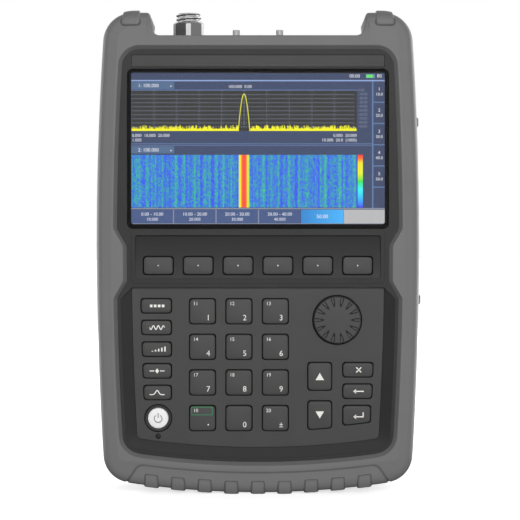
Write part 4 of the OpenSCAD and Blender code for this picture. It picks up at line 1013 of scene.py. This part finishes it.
show("fall", [(plot_left, fall_top, plot_right, fall_bottom)], 2, waterfall("glow_fall", [
    (0.418, (74, 84, 250)), (0.482, (74, 124, 226)), (0.526, (74, 156, 198)), (0.595, (80, 208, 138))]))
band_left, band_right = 65.2, 71.6
band_glow = graded("glow_band", "X", lcd_left + band_left, lcd_left + band_right, [
    (0.0, (130, 230, 110)), (0.08, (250, 244, 66)), (0.2, (250, 226, 66)), (0.3, (255, 130, 72)),
    (0.4, (255, 92, 76)), (0.65, (255, 92, 76)), (0.75, (255, 150, 72)), (0.84, (252, 240, 66)),
    (1.0, (180, 236, 90))])
show("band", [(band_left, fall_top, band_right, fall_bottom)], 3, band_glow)
scale_glow = graded("glow_scale", "Z", lcd_top - fall_bottom, lcd_top - fall_top, [
    (0.0, (80, 76, 250)), (0.16, (70, 190, 255)), (0.34, (72, 250, 252)), (0.5, (76, 236, 80)),
    (0.66, (240, 244, 64)), (0.84, (252, 236, 60)), (0.93, (255, 120, 66)), (1.0, (255, 72, 66))])
show("scale", [(137.3, fall_top, 140.5, fall_bottom)], 3, scale_glow)


def lettering(name, text, x, z, depth, size, material, body="instrument", align="CENTER"):
    """Flat plain figures that face the front, at (x, z)."""
    curve = set_all(bpy.data.curves.new(name, "FONT"), body=text, size=size * MM, align_x=align,
                    align_y="CENTER", resolution_u=3)
    source = set_all(put(name, curve), location=placed((x, depth, z)), rotation_euler=(math.pi / 2, 0, 0))
    mesh = made_mesh(source)
    mesh.transform(source.matrix_world)
    bpy.data.objects.remove(source)
    settle(put(name, mesh), material, body=body)


screen_white = glowing("glow_figures", (232, 236, 244))
screen_dim = glowing("glow_dim_figures", (128, 136, 154))


def figures(name, text, u, v, size, align="CENTER", material=screen_white):
    """Figures on the screen."""
    lettering("figures_" + name, text, lcd_left + u, lcd_top - v, figures_d, size, material, align=align)


for i in range(10):
    level_v = plot_top - 0.2 + plot_h / 10 * i
    figures("level_%d" % i, "%.2f" % (-10 * i), 137.6, level_v, 2.2, "LEFT", screen_dim)
for i in range(1, 6):
    middle_v = menu_top + menu_pitch * (i - 0.5)
    figures("menu_%d" % i, str(i), 150.4, middle_v - 1.6, 2.8)
    figures("menu_value_%d" % i, "%d.0" % (10 * i), 150.4, middle_v + 1.6, 2.5)
for i in range(1, 5):
    figures("cell_%d" % i, "%d.00 - %d.00" % (10 * i - 10, 10 * i), cell_w * (i - 0.5), 86.1, 2.8)
    figures("cell_value_%d" % i, "%d.000" % (10 * i), cell_w * (i - 0.5), 89.2, 2.6)
figures("choice", "50.00", cell_w * 4.5, 87.5, 3.2)
figures("clock", "00:00", 135.5, 2.4, 2.9)
figures("charge", "80", 150.5, 2.4, 2.9)
for i, tab_v in ((1, 8.2), (2, 47.2)):
    figures("tab_%d" % i, "%d: 100.000" % i, 4.2, tab_v, 3.0, "LEFT")
    mark_x, mark_z = lcd_left + 24.2, lcd_top - tab_v
    mark = [(mark_x - 0.6, mark_z), (mark_x, mark_z - 0.8), (mark_x + 0.6, mark_z)]
    piece("screen_tab_mark_%d" % i, flat(mark, figures_d), screen_white)
figures("top_level", "100.000  0.00", 66.0, 8.8, 2.6)
figures("start", "0.000  10.000  20.000", 0.6, 38.4, 2.6, "LEFT")
figures("width", "1.000", 0.6, 41.2, 2.6, "LEFT")
figures("stop", "0.000  20.000", plot_right, 38.4, 2.6, "RIGHT")
figures("time", "10.000  20.0  (1000)", plot_right, 41.2, 2.6, "RIGHT")

# Painted shade of a fine groove in the front plate under the softkeys: a flat dark line

line_x, line_low, line_high, line_r = 76.7, 127.1, 158.0, 3.0
line_ends = [(-line_x, line_high), (-line_x, line_low), (line_x, line_low), (line_x, line_high)]
line_bends = fillet(*line_ends[:3], line_r, 6) + fillet(*line_ends[1:], line_r, 6)
line_path = [line_ends[0], *line_bends, line_ends[3]]
piece("plate_line", stroke(line_path, 0.35, bezel_d - 0.02), groove_painted_shade)

# Keypad

key_face_d, softkey_face_d = 4.5, 3.2
key_foot_d = plate_back_d + 0.9
key_gap, cap_r, key_edge_r, key_rise = 0.6, 2.1, 0.4, 0.15
ink_d = key_face_d - key_rise - 0.02
panel_half_w, panel_bottom_z = 76.7, 27.9
side_key_in = panel_in + 5.2
low_key_in = panel_in + base_lip_extra + 10.2
side_key_h = 9.5


def box_outline(x, z, w, h):
    """A key with square sides, in an opening of a given size."""
    return soft_rect(x, z, w - 2 * key_gap, h - 2 * key_gap, cap_r)


def side_outline(side, inner_x, z):
    """A function key whose outer edge follows the plate."""
    low = z - side_key_h / 2 + key_gap
    high = z + side_key_h / 2 - key_gap
    corners = [(inner_x + key_gap, low), (side_x(low, side_key_in) - key_gap, low),
               (side_x(high, side_key_in) - key_gap, high), (inner_x + key_gap, high)]
    if side < 0:
        corners = [(-x, height) for x, height in reversed(corners)]
    return rounded(corners, cap_r)


def low_outline(x1, x2, high, gap, lean=0.0):
    """A key whose lower edge follows the base of the plate."""
    return rounded([(x1, base_z(x1, low_key_in + gap)), (x2, base_z(x2, low_key_in + gap)),
                    (x2 + lean, high), (x1, high)], cap_r)


def key(name, outline, face_d=key_face_d):
    """A soft key: rounded edge and a slightly domed face."""
    piece("cap_" + name, soft_plate(outline, face_d, key_foot_d, key_edge_r, key_rise), key_rubber,
          name + "_body", [name], sharp=50.0)


def ink(name, shape, body, material=legend_ink):
    """A printed sign."""
    piece("ink_" + name, shape, material, body=body + "_body")


def key_figures(kind, name, text, x, z, size, align):
    """Printed figures."""
    lettering(kind + name, text, x, z, ink_d, size, legend_ink, name + "_body", align)


def line(width, *path):
    """A printed line."""
    return stroke(path, width, ink_d)


def bar(x, half_w, low, high):
    """A printed upright bar."""
    return rectangle(x - half_w, low, x + half_w, high, ink_d)


number_names = ["key_%d" % n for n in range(1, 10)] + ["key_point", "key_0", "key_sign"]
number_figures = list("123456789") + ["", "0", "±"]
number_marks = [str(n) for n in range(11, 20)] + ["10", "", "20"]
number_x, number_pitch = -0.15 * panel_half_w, 0.2875 * panel_half_w
number_top_z = 110.3
number_low_z = panel_bottom_z + 17.7
number_row = (number_top_z - number_low_z) / 3
number_w, number_h, figure_size, mark_size = 16.5, 16.0, 4.8, 3.0
for i, name in enumerate(number_names):
    x = number_x + (i % 3 - 1) * number_pitch
    z = number_top_z - i // 3 * number_row
    key(name, box_outline(x, z, number_w, number_h))
    if number_figures[i]:
        key_figures("figure_", name, number_figures[i], x + 3.5, z - 4.0, figure_size, "CENTER")
    if number_marks[i]:
        key_figures("mark_", name, number_marks[i], x - 5.6, z + 4.6, mark_size, "LEFT")

left_names = ["key_mode", "key_frequency", "key_amplitude", "key_marker", "key_peak"]
left_key_x = 0.678 * panel_half_w
left_top_z, left_low_z = 113.6, number_low_z + 15.5
left_z = [left_top_z - i * (left_top_z - left_low_z) / 4 for i in range(5)]
for name, z in zip(left_names, left_z):
    key(name, side_outline(-1, left_key_x, z))

# Plain signs on the function keys: squares, a wave, bars, a pointer and a peak
sign_x, sign_half, sign_w = -left_key_x - 9.0, 4.5, 0.55
mode_z, wave_z, bars_z, pointer_z, hill_z = left_z
squares = [bar(sign_x + 2.4 * k, 0.8, mode_z - 0.8, mode_z + 0.8) for k in (-1.5, -0.5, 0.5, 1.5)]
ink("mode", joined(*squares), "key_mode")
wave = [(sign_x + sign_half * k / 24, wave_z + 1.2 * math.sin(math.pi * k / 8)) for k in range(-24, 25)]
ink("frequency", line(sign_w, *wave), "key_frequency")
bars = [bar(sign_x + 1.9 * k, 0.45, bars_z - 1.4, bars_z + 0.65 * k) for k in (-1.5, -0.5, 0.5, 1.5, 2.5)]
ink("amplitude", joined(*bars), "key_amplitude")
pointer = [(sign_x + u, pointer_z + v) for u, v in ((0, -1.6), (1.2, 0), (0, 1.6), (-1.2, 0))]
wings = [line(sign_w, (sign_x + 1.8 * s, pointer_z), (sign_x + sign_half * s, pointer_z)) for s in (-1, 1)]
ink("marker", joined(flat(pointer, ink_d), *wings), "key_marker")
hill = [(sign_x + sign_half * k / 16, hill_z - 1.2 + 2.6 * math.exp(-(k / 4.5) ** 2)) for k in range(-16, 17)]
ink("peak", line(sign_w, *hill), "key_peak")

softkey_pitch, softkey_w, softkey_h, softkey_z = 24.1, 18.7, 11.6, 138.0
dot_low_d, dot_d = softkey_face_d - 0.05, softkey_face_d - 0.2
dot_profile = [(0, dot_low_d), (0.45, dot_low_d), (0.4, dot_d), (0, dot_d)]
for i in range(6):
    name = "softkey_%d" % (i + 1)
    x = (i - 2.5) * softkey_pitch
    key(name, box_outline(x, softkey_z, softkey_w, softkey_h), softkey_face_d)
    ink(name + "_dot", turned_front(x, softkey_z, dot_profile, 16), name)

knob_x, knob_z, knob_r = 0.626 * panel_half_w, 105.1, 14.3
under_knob = knob_z - 16.5 - panel_bottom_z
right_key_x = 0.665 * panel_half_w
escape_z, back_key_z, enter_z, arrow_up_z, arrow_down_z = [
    panel_bottom_z + share * under_knob for share in (0.774, 0.56, 0.3196, 0.7084, 0.3246)]
key("key_escape", side_outline(1, right_key_x, escape_z))
key("key_back", side_outline(1, right_key_x, back_key_z))
enter_lean = 0.3
enter_x2 = side_x(enter_z, side_key_in) - key_gap - enter_lean
key("key_enter", low_outline(right_key_x + key_gap, enter_x2, enter_z + 6.35 - key_gap, key_gap, enter_lean))
arrow_x, arrow_w, arrow_h = 0.488 * panel_half_w, 15.2, 17.6
arrow_half = arrow_w / 2 - key_gap
arrow_high = arrow_down_z + arrow_h / 2 - key_gap
key("key_up", box_outline(arrow_x, arrow_up_z, arrow_w, arrow_h))
key("key_down", low_outline(arrow_x - arrow_half, arrow_x + arrow_half, arrow_high, key_gap - 0.8))

head_half_w, head_half_h = 2.6, 2.2
for name, z, s in (("up", arrow_up_z, 1), ("down", arrow_down_z, -1)):
    half_w, half_h = head_half_w * s, head_half_h * s
    head = [(arrow_x - half_w, z - half_h), (arrow_x + half_w, z - half_h), (arrow_x, z + half_h)]
    ink(name, flat(head, ink_d), "key_" + name)
point_x = number_x - number_pitch
point_z = number_top_z - 3 * number_row
mark_frame = soft_rect(point_x - 0.3, point_z + 4.4, 13.0, 5.2, 0.8)
ink("frame", band(mark_frame, inset(mark_frame, 0.5), ink_d), "key_point", green_ink)
ink("point", flat(soft_rect(point_x + 3.5, point_z - 3.9, 0.9, 0.9, 0.44), ink_d), "key_point")
right_x, bold_w = right_key_x + 10.0, 0.7


def left_arrow(z):
    """A printed arrow to the left."""
    head = [(right_x - 3.4, z), (right_x - 1.6, z - 1.5), (right_x - 1.6, z + 1.5)]
    return joined(line(bold_w, (right_x - 2.2, z), (right_x + 3.0, z)), flat(head, ink_d))


cross = [line(bold_w, (right_x - 1.5, escape_z - s), (right_x + 1.5, escape_z + s)) for s in (1.5, -1.5)]
ink("escape", joined(*cross), "key_escape")
ink("back", left_arrow(back_key_z), "key_back")
hook = line(bold_w, (right_x + 2.65, enter_z - 0.8), (right_x + 2.65, enter_z + 1.9))
ink("enter", joined(left_arrow(enter_z - 0.8), hook), "key_enter")

# Power button, its collar and light

power_x, power_z, power_r = -0.7875 * panel_half_w, number_low_z, 6.25
piece("power_cap", turned_front(power_x, power_z, [
    (0, key_foot_d), (power_r - 0.05, key_foot_d), (power_r - 0.05, key_face_d + 0.7),
    (power_r - 0.25, key_face_d + 0.25), (power_r - 0.8, key_face_d), (3.0, key_face_d - 0.15),
    (0, key_face_d - 0.2)]), button_white, "power_button_body", ["power_button"])
collar_in, collar_r = power_r + 0.2, power_r + 1.75
piece("collar", turned_front(power_x, power_z, [
    (collar_in, plate_back_d), (collar_in, panel_d + 0.1), (power_r + 0.5, panel_d - 0.3),
    (collar_r - 0.5, panel_d - 0.4), (collar_r - 0.1, panel_d - 0.1), (collar_r, panel_d + 0.4),
    (collar_r, plate_back_d), (collar_in, plate_back_d)]), collar_plastic,
    stands_for=["power_collar"])
symbol_r, symbol_w, symbol_steps = 2.1, 0.45, 24
symbol_d = key_face_d - 0.24
symbol_points = []
for step in range(symbol_steps + 1):
    a = math.radians(125 + 290 * step / symbol_steps)
    symbol_points += [(power_x + r * math.cos(a), symbol_d, power_z - 0.2 + r * math.sin(a))
                      for r in (symbol_r, symbol_r + symbol_w)]
symbol_arc = symbol_points, [[2 * k, 2 * k + 1, 2 * k + 3, 2 * k + 2] for k in range(symbol_steps)]
symbol_bar = rectangle(power_x - symbol_w / 2, power_z + 0.3, power_x + symbol_w / 2, power_z + 3.1, symbol_d)
ink("power", joined(symbol_arc, symbol_bar), "power_button", button_print)
led_z, led_r, led_foot_d = power_z - 11.1, 1.6, panel_d + 4
piece("led_lens", turned_front(power_x, led_z, [
    (0, led_foot_d), (led_r, led_foot_d), (led_r, panel_d), (led_r - 0.3, panel_d - 0.2),
    (0.6, panel_d - 0.4), (0, panel_d - 0.45)], 32), light_pipe, stands_for=["status_led"])

# Knob: a low dome with finger flutes

knob_front_d, knob_back_d = 1.0, 8.2
flutes, flute_start, flute_half, flute_depth, flute_wall = 14, 8.0, 1.05, 1.1, 0.42
rim_share, rim_depth, dome_depth = 0.93, 1.2, 0.25
knob_segments, knob_rows = flutes * 28, 26


def knob_depth(r, angle):
    """Depth of the knob's face at a radius and angle."""
    share = r / knob_r
    depth = knob_front_d + dome_depth * share ** 2
    if share > rim_share:
        bend = (share - rim_share) / (1 - rim_share)
        depth += rim_depth * (1 - math.sqrt(max(0.0, 1 - bend ** 2)))
    reach = (r - flute_start) / (knob_r - flute_start)
    if reach <= 0:
        return depth
    step = 2 * math.pi / flutes
    off = (angle / step) % 1.0 - 0.5
    across = abs(off) * step * r / (flute_half * math.sqrt(min(1.0, reach * 1.5)))
    if across >= 1:
        return depth
    return depth + flute_depth * min(1.0, (1 - across) / flute_wall) * min(1.0, reach * 3)


knob_rings = []
fluted_radii = [flute_start + (knob_r - flute_start) * k / knob_rows for k in range(knob_rows + 1)]
for r in [0.4, 3.0, 6.0] + fluted_radii:
    knob_rings.append([(knob_x + u, knob_depth(r, 2 * math.pi * i / knob_segments - math.pi / 2), knob_z + v)
                       for i, (u, v) in enumerate(circle(r, knob_segments))])
knob_rings.append([(x, knob_back_d, z) for x, depth, z in knob_rings[-1]])


def flute_side(face):
    """Whether a face of the knob is the side of a flute."""
    away = Vector((face.center.x - knob_x * MM, face.center.z - knob_z * MM)).length
    return away < rim_share * knob_r * MM and face.normal.y > -0.9


knob_cap = piece("knob_cap", loft(knob_rings), knob_rubber, "knob_body", ["knob"], sharp=40.0)
# Painted shade on the flutes' sides
second_finish(knob_cap, flute_painted_shade, flute_side)


def dark_ring(name, x, z, inner, outer):
    """A thin dark ring that lies flat on the plate around a round control: painted shade of the gap round it.
    """
    piece(name, turned_front(x, z, [
        (inner, plate_back_d), (inner, panel_d), (inner + 0.15, panel_d - 0.1), (outer - 0.15, panel_d - 0.1),
        (outer, panel_d), (outer, plate_back_d), (inner, plate_back_d)], 96), gap_shade_rubber)


# Painted shade round the knob and the power collar
dark_ring("knob_ring", knob_x, knob_z, knob_r + 0.05, knob_r + 0.85)
dark_ring("power_ring", power_x, power_z, collar_r - 0.05, collar_r + 0.55)

# Connectors between the horns

rf_x, rf_nut_af, rf_nut_h = -42.9, 19.0, 14.9
rf_thread_r, rf_root_r, rf_thread_h, rf_pitch = 7.94, 6.8, 5.8, 2.5
rf_bore_r, rf_bore_h = 4.1, 8.5
nut_low = case_top_z + top_panel_t
nut_high = nut_low + rf_nut_h
thread_high = nut_high + rf_thread_h
bore_low = thread_high - rf_bore_h
washer_in, washer_r, washer_edge = 7.2, 10.7, 0.2
washer_high = nut_low + 1.2
disc_r, disc_low, disc_high = 4.0, thread_high - 8.6, thread_high - 7.6
aux_x, aux_r, aux_pitch, aux_top = 13.5, 2.2, 0.9, nut_low + 10.6
aux_bore_r, aux_bore_low = aux_r - 0.5, aux_top - 3.8
aux_nut_r, aux_nut_end_r, aux_nut_edge, aux_nut_high = 4.0, 3.76, 0.3, nut_low + 3.0
round_steps = 72


def nut_outline(flats, corner):
    """A hexagon with a corner to the front and its corners cut flat, with points along each face."""
    face_steps = 8
    half_cut = math.pi / 6 - math.acos(flats / 2 / corner)
    turns = [math.pi / 3 * k + math.pi / 6 + cut for k in range(6) for cut in (-half_cut, half_cut)]
    ends = [Vector((corner * math.cos(a), corner * math.sin(a))) for a in turns]
    points = []
    for k in range(0, 12, 2):
        points.append(ends[k])
        points += [ends[k + 1].lerp(ends[(k + 2) % 12], step / face_steps) for step in range(face_steps)]
    return points


def nut(low, high, flats, corner, slope):
    """A nut whose top is turned to a cone, so that each face ends in an arc."""
    top_r = 0.95 * flats / 2
    rings = [[], [], []]
    for p in nut_outline(flats, corner):
        inner = p * top_r / p.length
        rings[0].append((rf_x + p.x, middle_d + p.y, low))
        rings[1].append((rf_x + p.x, middle_d + p.y, high - slope * (p.length - top_r)))
        rings[2].append((rf_x + inner.x, middle_d + inner.y, high))
    return loft(rings)


def thread(x, low, high, root, tip, pitch):
    """Rings of a coil of thread on a barrel, with a plain lead at each end."""
    rings = []
    rows = int((high - low) / (pitch / 12))
    lead = pitch / 3
    for k in range(rows + 1):
        z = low + (high - low) * k / rows
        fade = max(0.0, min(1.0, (z - low) / lead, (high - z) / lead))
        ring = []
        for i, (u, v) in enumerate(circle(1.0, round_steps)):
            phase = ((z - low) / pitch - i / round_steps) % 1.0
            ridge = max(0.0, min(1.0, 2.0 * (1 - abs(2 * phase - 1)) - 0.5))
            r = root + (tip - root) * ridge * fade
            ring.append((x + r * u, middle_d + r * v, z))
        rings.append(ring)
    return rings


def cut_corner(face):
    """Whether a face of the nut is one of its cut corners."""
    turn = math.degrees(math.atan2(face.normal.y, face.normal.x))
    return abs(turn % 60 - 30) < 8 and abs(face.normal.z) < 0.3


def connector_piece(name, x, profile, material, count=64):
    """A turned piece of a connector."""
    piece(name, loft(upright_rings(x, profile, count)), material)


def pin(name, x, low, high, r, tip_r, tip_h, count):
    """A centre contact with a tapered tip."""
    connector_piece(name, x, [(0, low), (r, low), (r, high - tip_h), (tip_r, high), (0, high)], gold, count)


def barrel(name, x, coil, bore, painted_shade_faces):
    """A threaded barrel with a bore, with a darker copy of its metal as painted shade on some faces."""
    rings = thread(x, *coil) + upright_rings(x, bore, round_steps)
    made = piece(name, loft(rings), bright_metal, sharp=40.0)
    second_finish(made, painted_shade_metal, painted_shade_faces)


rf_nut = piece("rf_nut", nut(nut_low + 1.0, nut_high, rf_nut_af, rf_nut_af / 2 * 1.074, 0.9), chrome,
               stands_for=["rf_connector"], sharp=20.0)
second_finish(rf_nut, satin_metal, cut_corner)
connector_piece("rf_washer", rf_x, [
    (washer_in, nut_low), (washer_r - washer_edge, nut_low), (washer_r, nut_low + washer_edge),
    (washer_r, washer_high - washer_edge), (washer_r - washer_edge, washer_high), (washer_in, washer_high),
    (washer_in, nut_low)], nickel)
# Painted shade on the thread's down-facing flanks
barrel("rf_thread", rf_x, (nut_high - 0.5, thread_high, rf_root_r, rf_thread_r, rf_pitch), [
    (rf_bore_r + 0.5, thread_high), (rf_bore_r, thread_high - 0.5), (rf_bore_r, bore_low), (0, bore_low)],
    lambda face: face.normal.z < -0.25)
connector_piece("rf_insulator", rf_x, [
    (0, disc_low), (disc_r, disc_low), (disc_r, disc_high), (0, disc_high)], insulator, 32)
pin("rf_pin", rf_x, thread_high - 8, thread_high - 2.1, 1.5, 1.1, 0.5, 24)
hexagon = [(aux_nut_end_r, nut_low), (aux_nut_r, nut_low + aux_nut_edge),
           (aux_nut_r, aux_nut_high - aux_nut_edge), (aux_nut_end_r, aux_nut_high)]
for side, word in ((-1, "left"), (1, "right")):
    x = side * aux_x
    piece("aux_nut_" + word, loft(upright_rings(x, hexagon, 6)), chrome,
          stands_for=["aux_connectors"] if side < 0 else (), sharp=20.0)
    # Painted shade on the barrel's left and right sides
    barrel("aux_barrel_" + word, x, (aux_nut_high - 0.1, aux_top, aux_r - 0.1, aux_r, aux_pitch), [
        (aux_bore_r, aux_top), (aux_bore_r, aux_bore_low), (0, aux_bore_low)],
        lambda face: abs(face.normal.x) > 0.75)
    pin("aux_pin_" + word, x, aux_top - 4, aux_top - 0.9, 0.5, 0.3, 0.3, 20)

# Floor, light and camera

white = (1, 1, 1, 1)
floor_half = 30.0
floor_mesh = bpy.data.meshes.new("floor")
floor_corners = [(-floor_half, -floor_half), (floor_half, -floor_half), (floor_half, floor_half),
                 (-floor_half, floor_half)]
floor_mesh.from_pydata([(x, y, 0) for x, y in floor_corners], [], [[0, 1, 2, 3]])
floor = put("floor", floor_mesh)


def floor_material():
    """A pale floor that looks white; it throws little light on the object's front and more on its sides."""
    material, tree = new_material("pale_floor")
    path = add(tree, "ShaderNodeLightPath")
    place = places(tree)
    where = add(tree, "ShaderNodeTexCoord")
    away = add(tree, "ShaderNodeVectorMath", {0: where["Object"]}, operation="LENGTH")
    beside = ranged(tree, calc(tree, "ABSOLUTE", place["X"]), 0.0, 1.0, 0.2, 0.5)
    beside = calc(tree, "MULTIPLY", beside, ranged(tree, place["Y"], 0.0, 1.0, -0.3, 0.0))
    beside = calc(tree, "MULTIPLY", beside, path["Is Glossy Ray"])
    near_dim = ranged(tree, away["Value"], 0.7, 1.0, 0.15, 1.2)
    strength = calc(tree, "MULTIPLY_ADD", beside, 0.5, near_dim)
    lift = add(tree, "ShaderNodeEmission", {"Color": white, "Strength": strength})
    pale = blended(tree, grain(tree, 40.0), colour(246), colour(252))
    bright = add(tree, "ShaderNodeBsdfDiffuse", {"Color": pale})
    seen = add(tree, "ShaderNodeAddShader", {0: bright["BSDF"], 1: lift["Emission"]})
    dull = add(tree, "ShaderNodeBsdfDiffuse", {"Color": colour(140)})
    end_in_mix(tree, calc(tree, "MAXIMUM", beside, path["Is Camera Ray"]), dull["BSDF"], seen["Shader"])
    return material


floor_mesh.materials.append(floor_material())


def studio_world():
    """White to the camera; for the light a room that is dim in front and bright behind and at the sides."""
    world = bpy.data.worlds.new("studio")
    tree = new_tree(world)
    path = add(tree, "ShaderNodeLightPath")
    towards = places(tree, "Generated")
    glossy = path["Is Glossy Ray"]
    levels = ((0.0, 0.75), (0.05, 0.72), (0.085, 0.3), (0.12, 0.14), (0.44, 0.14), (0.54, 0.7), (0.75, 1.0),
              (1.0, 1.0))
    from_front = ranged(tree, towards["Y"], 0.0, 1.0, -1.0, 1.0)
    tone = ramp_of(tree, from_front, [(position, (level, level, level, 1)) for position, level in levels])
    lean = calc(tree, "MULTIPLY_ADD", towards["X"], 0.6, 1.0)
    aside = ranged(tree, calc(tree, "ABSOLUTE", towards["X"]), 0.0, 1.4, 0.82, 0.92)
    aside = calc(tree, "MULTIPLY", aside, ranged(tree, towards["Y"], 0.0, 1.0, -0.05, 0.1))
    plain = calc(tree, "MULTIPLY", lean, ranged(tree, glossy, 0.6, 1.0))
    strength = calc(tree, "MULTIPLY_ADD", aside, glossy, plain)
    above = ranged(tree, towards["Z"], 1.0, 0.35, 0.25, 0.7)
    strength = calc(tree, "MULTIPLY", strength, above)
    room = add(tree, "ShaderNodeBackground", {"Color": tone, "Strength": strength})
    seen = add(tree, "ShaderNodeBackground", {"Color": white, "Strength": 1.0})
    end_in_mix(tree, path["Is Camera Ray"], room["Background"], seen["Background"], "ShaderNodeOutputWorld")
    return world


bpy.context.scene.world = studio_world()

aim = Vector((0, 0, 0.15))
lamp_size = 1.4
for name, place, power in (("key_lamp", (0.1, -2.35, 0.52), 54.0), ("back_lamp", (0.3, 2.35, 0.9), 40.0),
                           ("left_lamp", (-2.2, 1.0, 0.8), 18.0), ("right_lamp", (2.2, 1.0, 0.8), 14.0)):
    lamp = set_all(bpy.data.lights.new(name, "AREA"), shape="SQUARE", size=lamp_size, energy=power)
    turn = (aim - Vector(place)).to_track_quat("-Z", "Y")
    set_all(put(name, lamp), location=place, rotation_mode="QUATERNION", rotation_quaternion=turn,
            visible_glossy=False)

camera_data = set_all(bpy.data.cameras.new("camera"), lens=137.8, sensor_width=36.0,
                      shift_x=0.0030, shift_y=-0.0192)
camera = set_all(put("camera", camera_data), location=(0.0003, -1.237, 0.1474),
                 rotation_euler=(math.pi / 2, 0, 0))
bpy.context.scene.camera = camera
bpy.context.scene.view_settings.view_transform = "Standard"
